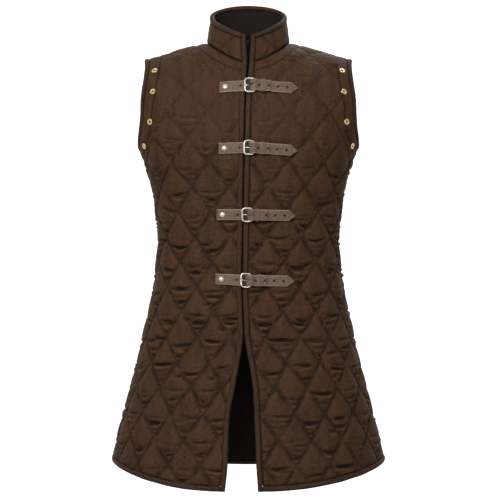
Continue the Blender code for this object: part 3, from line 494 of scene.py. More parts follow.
# The main creases of the worn cloth, each a soft trough: its middle, measured across from the centre
# towards the wearer's left, then its reach each way, depth, softness, slope and how far its ends rise.
Crease = namedtuple("Crease", "face across height reach depth width slope bow")
CREASES = (
    Crease("front", 0.0188, -0.374, 0.011, 0.0026, 0.0030, 0.05, 0.0010),
    Crease("front", -0.0767, -0.374, 0.014, 0.0022, 0.0030, 0.10, 0.0020),
    Crease("front", -0.0965, -0.422, 0.010, 0.0024, 0.0028, 0.00, 0.0010),
    Crease("front", 0.0938, -0.417, 0.018, 0.0022, 0.0030, 0.28, 0.0010),
    Crease("front", -0.0695, -0.467, 0.009, 0.0026, 0.0026, -0.05, 0.0010),
    Crease("front", -0.0732, -0.479, 0.008, 0.0026, 0.0026, 0.15, 0.0008),
    Crease("front", 0.0593, -0.472, 0.012, 0.0024, 0.0028, 0.05, 0.0010),
    Crease("front", 0.1120, -0.470, 0.013, 0.0022, 0.0030, 0.12, 0.0020),
    Crease("front", -0.1270, -0.455, 0.015, 0.0022, 0.0032, -0.08, 0.0015),
    Crease("front", 0.0373, -0.520, 0.008, 0.0027, 0.0028, 0.00, 0.0016),
    Crease("front", -0.0445, -0.523, 0.009, 0.0027, 0.0028, -0.10, 0.0020),
    Crease("front", -0.1065, -0.506, 0.014, 0.0022, 0.0030, 0.08, 0.0015),
    Crease("front", 0.0686, -0.549, 0.016, 0.0022, 0.0030, 0.10, 0.0022),
    Crease("front", -0.1650, -0.540, 0.018, 0.0020, 0.0034, -0.15, 0.0020),
    Crease("front", 0.1500, -0.566, 0.016, 0.0020, 0.0032, 0.20, 0.0020),
    Crease("front", -0.0516, -0.609, 0.009, 0.0025, 0.0028, 0.00, 0.0022),
    Crease("front", -0.1114, -0.606, 0.013, 0.0023, 0.0030, 0.05, 0.0020),
    Crease("front", 0.0945, -0.611, 0.012, 0.0023, 0.0030, 0.12, 0.0020),
    Crease("front", 0.1500, -0.300, 0.020, 0.0020, 0.0036, 0.30, 0.0010),
    Crease("front", -0.1480, -0.312, 0.022, 0.0020, 0.0036, -0.28, 0.0010),
    Crease("front", 0.1720, -0.352, 0.018, 0.0024, 0.0032, 0.15, 0.0010),
    Crease("front", -0.1700, -0.366, 0.020, 0.0024, 0.0032, -0.12, 0.0015),
    Crease("front", 0.1050, -0.345, 0.013, 0.0018, 0.0030, 0.08, 0.0015),
    Crease("front", -0.0350, -0.415, 0.010, 0.0018, 0.0030, -0.05, 0.0015),
    Crease("front", -0.1500, -0.690, 0.012, 0.0020, 0.0030, 0.05, 0.0020),
    Crease("front", 0.1300, -0.702, 0.012, 0.0020, 0.0030, 0.00, 0.0022),
    Crease("back", 0.0100, -0.352, 0.030, 0.0024, 0.0036, 0.04, 0.0020),
    Crease("back", -0.0600, -0.376, 0.022, 0.0026, 0.0032, -0.08, 0.0018),
    Crease("back", 0.0820, -0.384, 0.020, 0.0024, 0.0032, 0.10, 0.0015),
    Crease("back", -0.1280, -0.360, 0.024, 0.0022, 0.0034, -0.18, 0.0012),
    Crease("back", 0.1400, -0.346, 0.020, 0.0022, 0.0034, 0.20, 0.0012),
    Crease("back", 0.0300, -0.418, 0.016, 0.0024, 0.0030, -0.05, 0.0018),
    Crease("back", -0.0350, -0.447, 0.012, 0.0026, 0.0028, 0.06, 0.0016),
    Crease("back", 0.0700, -0.462, 0.015, 0.0022, 0.0030, 0.08, 0.0018),
    Crease("back", -0.1020, -0.470, 0.017, 0.0022, 0.0030, -0.10, 0.0016),
    Crease("back", 0.1250, -0.492, 0.012, 0.0024, 0.0030, 0.12, 0.0018),
    Crease("back", -0.0080, -0.530, 0.010, 0.0024, 0.0028, 0.00, 0.0020),
    Crease("back", -0.0760, -0.556, 0.013, 0.0022, 0.0030, -0.05, 0.0020),
    Crease("back", 0.0550, -0.610, 0.011, 0.0022, 0.0030, 0.06, 0.0022),
    Crease("back", -0.1350, -0.634, 0.013, 0.0020, 0.0030, 0.00, 0.0020),
)


def unevenness(x, z, size, seed):
    """Smooth swells between about -1 and 1, each about one size long."""
    draw = np.random.default_rng(seed)
    total = 0.0
    for _ in range(SWELL_WAVES):
        heading, phase = draw.uniform(0, 2 * math.pi, 2)
        length = size * draw.uniform(0.6, 1.7)
        along = x * math.cos(heading) + z * math.sin(heading)
        total = total + np.sin(2 * math.pi * along / length + phase)
    return total / SWELL_CREST


def nearest(points, line):
    """Distance of each point to the nearest of a line's points."""
    best = np.full(points.shape[:-1], np.inf)
    for place in line:
        best = np.minimum(best, ((points - place) ** 2).sum(-1))
    return np.sqrt(best)


class Panel:
    """The smooth outer face of a panel as a grid: rows from the hem up, columns across."""

    def __init__(self, face, side, columns, torso_rows, rows_each):
        x, z = panel_places(face, side, columns, torso_rows, rows_each)
        self.face = face
        self.side = side
        self.points = face_point(face, side * x, z)
        self.normals = face_normal(face, side * np.maximum(x, 1e-9), z)
        self.points[..., 1] += -SEAM / 2 if face == "front" else SEAM / 2
        steps = np.linalg.norm(np.diff(self.points[..., :2], axis=1), axis=-1)
        self.across = np.concatenate([x[:, :1], x[:, :1] + np.cumsum(steps, axis=1)], axis=1)
        if face == "front":
            self.across = self.across - np.maximum(smooth(OPENINGS, "gap", z), SEAM) / 2
        self.across = self.across * side
        rolled = np.clip(math.pi / 2 - roll_angle(x, z), 0.0, None)
        start = ridge(x)[0] - ROLL_HEIGHT
        self.up = np.where(rolled > 0, start + ROLL_HEIGHT * rolled, z)
        self.torso_rows = torso_rows
        self.corner_row = torso_rows + EDGE_ROWS * rows_each
        self.inward = -self.normals

    def edges(self):
        """Points of the panel's bound edges and of its plain seams, each a list of lines."""
        corner, torso = self.corner_row, self.torso_rows
        bound = {"hem": self.points[0], "armhole": self.points[torso:, -1]}
        seams = [self.points[: torso + 1, -1], self.points[-1], self.points[corner:, 0]]
        if self.face == "front":
            bound["opening"] = self.points[: corner + 1, 0]
        return bound, seams

    def join_collar(self, collar_normals):
        """Turn the wall at the neckline to the mitre on which it meets the collar."""
        row = self.corner_row
        self.inward[row:, 0] = mitre(self.normals[row:, 0], collar_normals)

    def measure(self):
        """How far each point is from the bound edges, the plain seams, the armhole and the neck."""
        bound, seams = self.edges()
        self.arm = nearest(self.points, bound["armhole"])
        self.neck = nearest(self.points, self.points[self.corner_row :, 0])
        if (self.face, self.side) == ("front", -1):
            del bound["opening"]
        self.bound = np.minimum.reduce([nearest(self.points, line) for line in bound.values()])
        self.seam = np.minimum.reduce([nearest(self.points, line) for line in seams])


def quilting(face, across, up, height, seed, strength=1.0):
    """Lift of the stitched cloth off its form, its coordinates along both sets of stitched lines, how
    much painted shade its stitched valleys get, and how far it is in a trough (above 0) or on a ridge (below
    0)."""
    half = smooth(LATTICE, "half_width", height)
    wobble = WOBBLE * unevenness(across, up, WOBBLE_LENGTH, seed)
    u = (across + wobble) / (2 * half)
    v = (up + wobble - DIAMOND_CROSSING) / DIAMOND_HEIGHT + 0.5
    a, b = u + v, u - v
    apart = 1 / np.hypot(1 / (2 * half), 1 / DIAMOND_HEIGHT)
    to_a = np.abs(a - np.round(a)) * apart
    to_b = np.abs(b - np.round(b)) * apart
    puff = (1 - np.exp(-to_a / VALLEY_REACH)) * (1 - np.exp(-to_b / VALLEY_REACH))
    depth = smooth(LATTICE, "depth", height) * strength
    lift = PUFF_TOP - depth * (1 - puff)

    # Short ripples that run across each stitched line. fold marks troughs above 0 and ridges below.
    fold = np.zeros_like(lift)
    run = math.hypot(0.03, DIAMOND_HEIGHT / 2)
    drift = RIPPLE_DRIFT * unevenness(across, up, RIPPLE_DRIFT_LENGTH, seed + 1)
    patch = np.clip(0.35 + unevenness(across, up, RIPPLE_PATCH_LENGTH, seed + 2), 0.0, 1.2)
    amount = patch * RIPPLE_DEPTH * strength
    for line_distance, along in ((to_a, b), (to_b, a)):
        wave = np.sin(2 * math.pi * along * run / RIPPLE_LENGTH + drift)
        wave = wave * np.exp(-line_distance / RIPPLE_FAR) * (1 - np.exp(-line_distance / RIPPLE_NEAR))
        lift = lift + amount * wave
        fold = fold - RIPPLE_SHADE * amount / RIPPLE_DEPTH * wave

    # Puckers in each diamond's lower half: every diamond draws its own from a seeded table.
    draw = np.random.default_rng(seed + 3)
    i, j = np.floor(a).astype(int) % TABLE_SIZE, np.floor(b).astype(int) % TABLE_SIZE
    rise = (a - np.floor(a) - (b - np.floor(b)) + 1) / 2
    offset = (a - np.floor(a) + (b - np.floor(b)) - 1) * half
    reach_up = rise * DIAMOND_HEIGHT
    pull = smooth(PUCKERS, "strength", height) * strength
    table = (TABLE_SIZE, TABLE_SIZE)
    for _ in range(PUCKERS_EACH):
        low = draw.uniform(PUCKER_LOWEST, PUCKER_HIGHEST, table)[i, j]
        spare = 2 * half * np.minimum(low, 1 - low)
        reach = spare * draw.uniform(0.55, 1.15, table)[i, j] + 0.002
        middle = spare * draw.uniform(-0.4, 0.4, table)[i, j]
        deep = PUCKER_DEPTH * draw.beta(1.1, 2.3, table)[i, j]
        bow = draw.uniform(-0.001, 0.006, table)[i, j]
        tilt = draw.uniform(-PUCKER_TILT, PUCKER_TILT, table)[i, j]
        aside = (offset - middle) / reach
        rung = (reach_up - low * DIAMOND_HEIGHT - bow * aside**2 - tilt * offset) / PUCKER_WIDTH
        fade = np.clip(1 - aside**2, 0.0, 1.0)
        below = PUCKER_RIDGE * np.exp(-((rung + PUCKER_RIDGE_PLACE) ** 2))
        trough = pull * deep * fade * (np.exp(-(rung**2)) - below)
        lift = lift - trough
        fold = fold + trough / PUCKER_DEPTH

    # The main creases, as listed, and broad swells of the wadding.
    for crease in CREASES:
        if crease.face != face:
            continue
        aside = (across - crease.across) / crease.reach
        line = crease.height + crease.slope * (across - crease.across) + crease.bow * aside**2
        rung = (up - line) / crease.width
        fade = np.clip(1 - aside**2, 0.0, 1.0) ** 0.7
        below = CREASE_RIDGE * np.exp(-((rung + CREASE_RIDGE_PLACE) ** 2))
        trough = fade * (np.exp(-(rung**2)) - below)
        lift = lift - crease.depth * trough
        fold = fold + CREASE_SHADE * trough
    lift = lift + SWELL * unevenness(across, up, SWELL_LENGTH, seed + 4) * puff
    fading = 0.78 + 0.5 * unevenness(across, up, FADING_LENGTH, seed + 5)
    # The painted shade in the valleys fades where the stitching is shallow, on the upper chest, and varies
    # along the lines.
    shown = np.clip(smooth(LATTICE, "depth", height) / FULLY_SHOWN_DEPTH, 0.0, 1.0) ** 2
    near_stitch = shown * np.exp(-np.minimum(to_a, to_b) / STITCH_SHADE_REACH) * np.clip(fading, 0.3, 1.0)
    return np.clip(lift, LOWEST_LIFT, HIGHEST_LIFT), a, b, near_stitch, np.clip(fold, -1.0, 1.0)


def draw_in(lift, near_stitch, edges):
    """Draw the cloth down to its sewn edges; edges holds each one's distance, dip and reach."""
    for away, dip, reach in edges:
        close = np.exp(-away / reach)
        lift = dip * close + lift * (1 - close)
        # Painted shade darkens the cloth along each sewn edge.
        near_stitch = np.maximum(near_stitch, np.exp(-away / EDGE_SHADE_REACH))
    return lift, near_stitch


def add_map(piece, name, flat):
    """A UV map from a pair of coordinates for each vertex."""
    order = np.zeros(len(piece.data.loops), np.int32)
    piece.data.loops.foreach_get("vertex_index", order)
    layer = piece.data.uv_layers.new(name=name)
    layer.data.foreach_set("uv", flat[order].ravel().astype(np.float32))


def put_in_place(piece, node):
    """Let a finished piece stand for its CAD node."""
    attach(piece, "root")
    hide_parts(node)


def add_piece(name, points, faces, finish):
    """A smooth-shaded mesh object at the origin, with its finish."""
    mesh = bpy.data.meshes.new(name)
    mesh.from_pydata(points, [], faces)
    mesh.shade_smooth()
    mesh.materials.append(finish)
    piece = bpy.data.objects.new(name, mesh)
    bpy.context.scene.collection.objects.link(piece)
    return piece


def closed_wall(name, outer, inner, skip, flip, finish, maps, marks, open_rows=0):
    """A closed cloth wall: a fine outer face, an inner face of every skip-th point, and a rim.

    maps are UV maps as arrays over the outer grid, and marks are attributes over it. The first
    open_rows rows get no rim on their first column, where the mirrored half joins.
    """
    rows, columns = outer.shape[:2]
    number = np.arange(rows * columns).reshape(rows, columns)
    coarse = inner[::skip, ::skip]
    low_rows, low_columns = coarse.shape[:2]
    inner_number = rows * columns + np.arange(low_rows * low_columns).reshape(low_rows, low_columns)

    def quads(grid):
        corners = (grid[:-1, :-1], grid[:-1, 1:], grid[1:, 1:], grid[1:, :-1])
        return np.stack(corners, axis=-1).reshape(-1, 4)

    outer_faces = quads(number)
    inner_faces = quads(inner_number)[:, ::-1]
    rim = []
    around = (
        (number[0, :], inner_number[0, :]),
        (number[:, -1], inner_number[:, -1]),
        (number[-1, ::-1], inner_number[-1, ::-1]),
        (number[open_rows:, 0][::-1], inner_number[open_rows // skip :, 0][::-1]),
    )
    for fine, thin in around:
        for k in range(len(thin) - 1):
            run = fine[k * skip : (k + 1) * skip + 1]
            rim.append([*run[::-1].tolist(), int(thin[k]), int(thin[k + 1])])
    faces = outer_faces.tolist() + inner_faces.tolist() + rim
    if flip:
        faces = [face[::-1] for face in faces]
    points = np.concatenate([outer.reshape(-1, 3), coarse.reshape(-1, 3)])
    piece = add_piece(name, points.tolist(), faces, finish)
    for map_name, values in maps.items():
        flat = np.concatenate([values.reshape(-1, 2), values[::skip, ::skip].reshape(-1, 2)])
        add_map(piece, map_name, flat)
    for mark_name, values in marks.items():
        flat = np.concatenate([values.ravel(), values[::skip, ::skip].ravel()])
        layer = piece.data.attributes.new(mark_name, "FLOAT", "POINT")
        layer.data.foreach_set("value", flat.astype(np.float32))
    return piece


# Darker streaks of the brushed nap.
STREAK_DARKNESS = 0.68
STREAK_BROWN = "#1B110B"


def cotton(name, brown, red_brown, wear_and_painted_shade, roughness):
    """Brushed woven cotton: its two dye tones drift over a hand's width, and its slubs run up the cloth."""
    made, tree, shader = new_material(name)
    cloth = add_node(tree, "UVMap", {}, uv_map="cloth")
    drift = add_node(tree, "TexNoise", {"Vector": cloth, "Scale": 9.0, "Detail": 3.0, "Roughness": 0.55})
    tone = add_node(tree, "MapRange", {"Value": drift, "From Min": 0.36, "From Max": 0.66})
    dyed = add_node(
        tree, "Mix", {"Factor": tone, "A": linear(brown), "B": linear(red_brown)}, data_type="RGBA"
    )
    # Brushed nap lies in soft upright streaks, 16 mm wide and 70 mm long, some of them darker.
    upright = add_node(tree, "Mapping", {"Vector": cloth, "Scale": (62.0, 14.0, 1.0)})
    streak = add_node(tree, "TexNoise", {"Vector": upright, "Scale": 1.0, "Detail": 3.0, "Roughness": 0.6})
    shadow = add_node(
        tree, "MapRange", {"Value": streak, "From Min": 0.56, "From Max": 0.34, "To Max": STREAK_DARKNESS}
    )
    dyed = add_node(tree, "Mix", {"Factor": shadow, "A": dyed, "B": linear(STREAK_BROWN)}, data_type="RGBA")
    # Threads are 0.5 mm, too fine to show, so slubs are drawn 1.3 mm wide and 12 mm long.
    stretch = add_node(tree, "Mapping", {"Vector": cloth, "Scale": (770.0, 83.0, 1.0)})
    slub = add_node(tree, "TexNoise", {"Vector": stretch, "Scale": 1.0, "Detail": 2.0})
    weft_stretch = add_node(tree, "Mapping", {"Vector": cloth, "Scale": (120.0, 900.0, 1.0)})
    weft = add_node(tree, "TexNoise", {"Vector": weft_stretch, "Scale": 1.0, "Detail": 1.0})
    weave = add_node(tree, "Math", {0: slub, 1: weft}, operation="ADD")
    nap = add_node(tree, "MapRange", {"Value": weave, "From Min": 0.75, "From Max": 1.25})
    soft = add_node(tree, "Math", {0: nap, 1: 0.42}, operation="MULTIPLY")
    brushed = add_node(tree, "Mix", {"Factor": soft, "A": dyed, "B": linear(wear_and_painted_shade)}, data_type="RGBA")
    level = add_node(tree, "Mapping", {"Vector": cloth, "Scale": (75.0, 190.0, 1.0)})
    crumple = add_node(tree, "TexNoise", {"Vector": level, "Scale": 1.0, "Detail": 4.0, "Roughness": 0.62})
    low = add_node(tree, "Bump", {"Height": crumple, "Strength": 0.8, "Distance": 0.0026})
    fine = add_node(tree, "Bump", {"Height": weave, "Strength": 0.5, "Distance": 0.0003, "Normal": low})
    fill(shader, {"Base Color": brushed, "Normal": fine, "Roughness": roughness, "Specular IOR Level": 0.10})
    fill(shader, {"Sheen Weight": 0.04, "Sheen Roughness": 0.40, "Sheen Tint": linear("#B08060")})
    return made, tree, shader, brushed


quilted_cotton, tree, shader, brushed = cotton(
    "brushed_quilted_cotton", "#382616", "#3E2417", "#543D29", 0.66
)
stitched = add_node(tree, "UVMap", {}, uv_map="stitches")
lines = add_node(tree, "SeparateXYZ", {"Vector": stitched})
groove = add_node(tree, "Attribute", {}, attribute_name="valley")
# Thread: lockstitches about 3.7 mm apart along both sets of lines, wherever the cloth is drawn in.
sewn = []
for across_line, along_line in (("X", "Y"), ("Y", "X")):
    shifted = add_node(tree, "Math", {0: lines.outputs[across_line], 1: 0.5}, operation="ADD")
    share = add_node(tree, "Math", {0: shifted}, operation="FRACT")
    off_line = add_node(tree, "Math", {0: share, 1: 0.5}, operation="SUBTRACT")
    from_line = add_node(tree, "Math", {0: off_line}, operation="ABSOLUTE")
    on_line = add_node(tree, "Math", {0: from_line, 1: 0.011}, operation="LESS_THAN")
    count = add_node(tree, "Math", {0: lines.outputs[along_line], 1: 15.0}, operation="MULTIPLY")
    beat = add_node(tree, "Math", {0: count}, operation="FRACT")
    dash = add_node(tree, "Math", {0: beat, 1: 0.64}, operation="LESS_THAN")
    both = add_node(tree, "Math", {0: on_line, 1: dash}, operation="MULTIPLY")
    sewn.append(both)
either = add_node(tree, "Math", {0: sewn[0], 1: sewn[1]}, operation="MAXIMUM")
drawn_in = add_node(tree, "Math", {0: groove.outputs["Fac"], 1: 0.28}, operation="GREATER_THAN")
thread = add_node(tree, "Math", {0: either, 1: drawn_in}, operation="MULTIPLY")
folded = add_node(tree, "Attribute", {}, attribute_name="fold")
# Painted shade darkens the stitched lines and the troughs, and a painted highlight lightens the ridges.
trough = add_node(tree, "Math", {0: folded.outputs["Fac"], 1: groove.outputs["Fac"]}, operation="MAXIMUM")
painted_shade_share = add_node(tree, "MapRange", {"Value": trough, "From Min": 0.10, "From Max": 0.75, "To Max": 0.92})
painted_highlight_share = add_node(
    tree, "MapRange", {"Value": folded.outputs["Fac"], "From Min": -0.05, "From Max": -0.6, "To Max": 0.38}
)
rubbed_and_highlit = add_node(
    tree, "Mix", {"Factor": painted_highlight_share, "A": brushed, "B": linear("#624A34")}, data_type="RGBA"
)
shaded = add_node(tree, "Mix", {"Factor": painted_shade_share, "A": rubbed_and_highlit, "B": linear("#150C07")}, data_type="RGBA")
threaded = add_node(tree, "Mix", {"Factor": thread, "A": shaded, "B": linear("#3A291D")}, data_type="RGBA")
fill(shader, {"Base Color": threaded})


def make_panels(front_columns, back_columns, torso_rows, rows_each, collar_rows):
    """Grids of both fronts and of both halves of the back, and the collar's points and normals."""
    turn = NECK_ROWS * rows_each
    points, normals = collar_form(turn, turn, collar_rows)
    neck = normals[0]
    beside = {
        "front_left": neck[: turn + 1],
        "back_left": neck[2 * turn : turn - 1 : -1],
        "back_right": neck[2 * turn : 3 * turn + 1],
        "front_right": neck[: 3 * turn - 1 : -1],
    }
    made = {}
    for name, collar_normals in beside.items():
        face, hand = name.split("_")
        columns = front_columns if face == "front" else back_columns
        panel = Panel(face, 1 if hand == "left" else -1, columns, torso_rows, rows_each)
        panel.measure()
        panel.join_collar(collar_normals)
        made[name] = panel
    return made, points, normals


def join_halves(name, halves):
    """Join two halves of a wall into one piece, and close them along the centre."""
    bpy.ops.object.select_all(action="DESELECT")
    for half in halves:
        half.select_set(True)
    bpy.context.view_layer.objects.active = halves[0]
    bpy.ops.object.join()
    whole = bpy.context.object
    whole.name = name
    bm = bmesh.new()
    bm.from_mesh(whole.data)
    middle = [vert for vert in bm.verts if abs(vert.co.x) < 0.00001]
    bmesh.ops.remove_doubles(bm, verts=middle, dist=0.00002)
    bm.to_mesh(whole.data)
    bm.free()
    return whole


# Columns and rows of the outer faces, 2 to 3 mm apart. An inner face has every sixth one.
FRONT_COLUMNS = 156
BACK_COLUMNS = 102
TORSO_ROWS = 276
ROWS_EACH = 12
COLLAR_ROWS = 30
INNER_SKIP = 6

panels, collar_points, collar_normals = make_panels(
    FRONT_COLUMNS, BACK_COLUMNS, TORSO_ROWS, ROWS_EACH, COLLAR_ROWS
)

# What presses on the cloth: the eyelets, and the straps along their length.
Eyelet = namedtuple("Eyelet", "face across height")
EYELETS = (
    Eyelet("front", 0.1705, -0.057),
    Eyelet("front", 0.1720, -0.098),
    Eyelet("front", 0.1765, -0.153),
    Eyelet("front", 0.1880, -0.195),
    Eyelet("back", 0.1740, -0.070),
    Eyelet("back", 0.1830, -0.122),
    Eyelet("back", 0.1900, -0.175),
)
Strap = namedtuple("Strap", "across height rivet_end_rise tip_rise keeper_start")
STRAPS = (
    Strap(0.0028, -0.0921, -0.0035, -0.0044, 0.0210),
    Strap(0.0014, -0.2021, -0.0018, -0.0053, 0.0210),
    Strap(-0.0019, -0.3203, 0.0, -0.0016, 0.0145),
    Strap(-0.0040, -0.4372, 0.0028, -0.0012, 0.0210),
)

# How far off the cloth the straps lie and how far they run, and how near them it is held down.
STRAP_LIFT = 0.0016
BILLET_START = -0.0535
BILLET_TIP = 0.0850
PRESSED_LIFT = 0.0008
PRESSED_LIFT_AT_EYELET = -0.0001
PRESSED_HALF_WIDTH = 0.0125
PRESSED_BEYOND_ENDS = 0.0020
PRESSED_RADIUS = 0.0075
PRESSED_REACH = 0.0080
FREE_LIFT = 0.0030
TOUCHING = 0.0005


def strap_sway(strap, along):
    """How far a strap has swung up or down at a distance along it."""
    to_rivet, to_tip = along / BILLET_START, along / BILLET_TIP
    return np.where(along < 0, strap.rivet_end_rise * to_rivet, strap.tip_rise * to_tip)


def pressed(panel, lift):
    """The lift held down under the straps and round the eyelets."""
    x, z = panel.points[..., 0], panel.points[..., 2]
    gap = np.full_like(lift, np.inf)
    for strap in STRAPS if panel.face == "front" else ():
        along = x - strap.across
        beside = np.abs(z - strap.height - strap_sway(strap, along)) - PRESSED_HALF_WIDTH
        beyond = np.maximum(BILLET_START - along, along - BILLET_TIP) - PRESSED_BEYOND_ENDS
        gap = np.minimum(gap, np.hypot(np.maximum(beside, 0.0), np.maximum(beyond, 0.0)))
    for eyelet in EYELETS:
        if eyelet.face == panel.face:
            apart = np.hypot(x - panel.side * eyelet.across, z - eyelet.height)
            gap = np.minimum(gap, np.maximum(apart - PRESSED_RADIUS, 0.0) + TOUCHING)
    at_eyelet = (gap > 0) & (gap <= TOUCHING)
    held = np.where(at_eyelet, PRESSED_LIFT_AT_EYELET, PRESSED_LIFT)
    return np.minimum(lift, held + FREE_LIFT * np.clip(gap / PRESSED_REACH, 0.0, 1.0))


# Each panel draws its own puckers; both halves of the back share a seed.
SEEDS = {"front_left": 110, "front_right": 120, "back_left": 130, "back_right": 130}
quilts = {}
for name, panel in panels.items():
    height = panel.points[..., 2]
    lift, a, b, near_stitch, fold = quilting(panel.face, panel.across, panel.up, height, SEEDS[name])
    # Plain bands along the armhole and under the collar, each ending at its own stitched line.
    for away, band in ((panel.arm, ARMHOLE_BAND), (panel.neck, NECK_BAND)):
        plain = np.clip((band - away) / BAND_FADE + 0.5, 0.0, 1.0)
        lift = lift * (1 - plain) + plain * BAND_LIFT
        near_stitch = near_stitch * (1 - plain)
        lift = lift - BAND_STITCH_DEPTH * np.exp(-np.abs(away - band) / BAND_STITCH_REACH)
        # Painted shade along each band's stitched line.
        near_stitch = np.maximum(near_stitch, 0.8 * np.exp(-np.abs(away - band) / BAND_SHADE_REACH))
    edges = ((panel.bound, EDGE_DIP, EDGE_REACH), (panel.seam, SEAM_DIP, SEAM_REACH))
    lift, near_stitch = draw_in(pressed(panel, lift), near_stitch, edges)
    quilts[name] = closed_wall(
        f"{name}_quilt",
        panel.points + panel.normals * lift[..., None],
        panel.points + panel.inward * QUILT_THICKNESS,
        INNER_SKIP,
        (panel.face == "front") != (panel.side > 0),
        quilted_cotton,
        {"cloth": np.stack([panel.across, panel.up], -1), "stitches": np.stack([a, b], -1)},
        {"valley": near_stitch, "fold": fold},
        0 if panel.face == "front" else panel.corner_row,
    )
quilts["back"] = join_halves("back_quilt", [quilts.pop("back_left"), quilts.pop("back_right")])
for name, quilt in quilts.items():
    put_in_place(quilt, name)


# --- Standing collar -------------------------------------------------------------------------------
# The same quilted cotton in one band sewn round the neckline. Its diamonds are shallower than the
# body's, and the bound top edge draws it in.

COLLAR_STRENGTH = 0.45
COLLAR_LATTICE_AT = -0.20
COLLAR_PUFF_TOP = 0.0006
COLLAR_SEED = 170

turn = NECK_ROWS * ROWS_EACH
steps = np.linalg.norm(np.diff(collar_points[COLLAR_ROWS // 2], axis=0), axis=-1)
along = np.concatenate([[0.0], np.cumsum(steps)])
across = (along - along[2 * turn])[None] + np.zeros((COLLAR_ROWS + 1, 1))
rise = np.linalg.norm(collar_points - collar_points[0], axis=-1)
up = rise + DIAMOND_CROSSING - DIAMOND_HEIGHT / 4
lattice_at = np.full_like(up, COLLAR_LATTICE_AT)
lift, a, b, near_stitch, fold = quilting("collar", across, up, lattice_at, COLLAR_SEED, COLLAR_STRENGTH)
lift = lift - PUFF_TOP + COLLAR_PUFF_TOP
ends = np.minimum(across - across[:, :1], across[:, -1:] - across)
top = rise[-1] - rise
edges = ((rise, SEAM_DIP, SEAM_REACH), (top, EDGE_DIP, EDGE_REACH), (ends, EDGE_DIP, EDGE_REACH))
lift, near_stitch = draw_in(lift, near_stitch, edges)


def collar_inward(panels, normals):
    """Inward vectors of the collar's wall, mitred with the body's along the neckline."""
    inward = -normals
    neck = [panels[name].inward[panels[name].corner_row :, 0] for name in panels]
    left_front, left_back, right_back, right_front = neck
    inward[0] = np.concatenate([left_front, left_back[-2::-1], right_back[1:], right_front[-2::-1]])
    return inward


collar_in = collar_inward(panels, collar_normals)
quilts["collar"] = closed_wall(
    "collar_quilt",
    collar_points + collar_normals * lift[..., None],
    collar_points + collar_in * QUILT_THICKNESS,
    INNER_SKIP,
    False,
    quilted_cotton,
    {"cloth": np.stack([across, up], -1), "stitches": np.stack([a, b], -1)},
    {"valley": near_stitch, "fold": fold},
)
put_in_place(quilts["collar"], "collar")


# --- Linings ---------------------------------------------------------------------------------------
# Near-black plain cotton inside the fronts, the back and the collar. It is caught by the same
# stitching, so it swells a little between the lines.

LINING_FRONT_COLUMNS = 50
LINING_BACK_COLUMNS = 50
LINING_TORSO_ROWS = 96
LINING_ROWS_EACH = 4
LINING_COLLAR_ROWS = 8
LINING_SWELL = 0.0011
LINING_EDGE_REACH = 0.01

lining_cotton, tree, shader, brushed = cotton("plain_black_cotton", "#15110F", "#1A1412", "#27201D", 0.8)
lining_panels, lining_collar, lining_normals = make_panels(
    LINING_FRONT_COLUMNS, LINING_BACK_COLUMNS, LINING_TORSO_ROWS, LINING_ROWS_EACH, LINING_COLLAR_ROWS
)
linings = {}
for name, panel in lining_panels.items():
    height = panel.points[..., 2]
    near_stitch = quilting(panel.face, panel.across, panel.up, height, SEEDS[name])[3]
    at_edge = np.minimum(panel.bound / LINING_EDGE_REACH, 1.0)
    swell = LINING_SWELL * np.clip(1 - 2 * near_stitch, 0.0, 1.0) * at_edge
    linings[name] = closed_wall(
        f"{name}_lining_cloth",
        panel.points + panel.inward * (WALL_THICKNESS + swell[..., None]),
        panel.points + panel.inward * (QUILT_THICKNESS + SEAM),
        1,
        (panel.face == "front") == (panel.side > 0),
        lining_cotton,
        {"cloth": np.stack([panel.across, panel.up], -1)},
        {},
        0 if panel.face == "front" else panel.corner_row,
    )
linings["back"] = join_halves("back_lining_cloth", [linings.pop("back_left"), linings.pop("back_right")])
lining_in = collar_inward(lining_panels, lining_normals)
steps = np.diff(lining_collar, axis=1, prepend=lining_collar[:, :1])
across = np.cumsum(np.linalg.norm(steps, axis=-1), axis=1)
linings["collar"] = closed_wall(
    "collar_lining_cloth",
    lining_collar + lining_in * WALL_THICKNESS,
    lining_collar + lining_in * (QUILT_THICKNESS + SEAM),
    1,
    True,
    lining_cotton,
    {"cloth": np.stack([across, lining_collar[..., 2]], -1)},
    {},
)
for name, lining in linings.items():
    put_in_place(lining, f"{name}_lining")


# --- Bindings --------------------------------------------------------------------------------------
# Strips of the same cotton rolled over every raw edge and stitched down in a ditch: the front edges
# right up the collar, its top, the hem and the armholes. The roll is a little uneven by hand.

BINDING_PROUD = 0.0012
BINDING_GAP = 0.0003
ARMHOLE_BINDING_WIDTH = 0.0080
BINDING_SIDES = 18
BINDING_SQUARENESS = 2.2
BINDING_STEP = 0.0026
ROLL_TWIST_LENGTH = 0.013
ROLL_LIP = 0.0020
ROLL_TWIST = 0.00028
ROLL_SLANT = 1.6
ROLL_PATCH_LENGTH = 0.09
PLUMPNESS = 0.05
PLUMP_LENGTH = 0.05
LAP_EASE = 0.002
ROLL_MAP = 0.004

binding_cotton, tree, shader, brushed = cotton("rolled_binding_cotton", "#34251C", "#36231A", "#4B382C", 0.66)
# Painted shade darkens each roll along its ditch and its outer fold.
wrapped = add_node(tree, "UVMap", {}, uv_map="cloth")
round_roll = add_node(tree, "SeparateXYZ", {"Vector": wrapped})
angle = add_node(tree, "Math", {0: round_roll.outputs["X"], 1: ROLL_MAP}, operation="DIVIDE")
sideways = add_node(tree, "Math", {0: angle}, operation="COSINE")
to_ditch = add_node(tree, "Math", {0: sideways}, operation="ABSOLUTE")
shade = add_node(tree, "MapRange", {"Value": to_ditch, "From Min": 0.62, "From Max": 0.97, "To Max": 0.88})
shaded = add_node(tree, "Mix", {"Factor": shade, "A": brushed, "B": linear("#0E0805")}, data_type="RGBA")
fill(shader, {"Base Color": shaded})


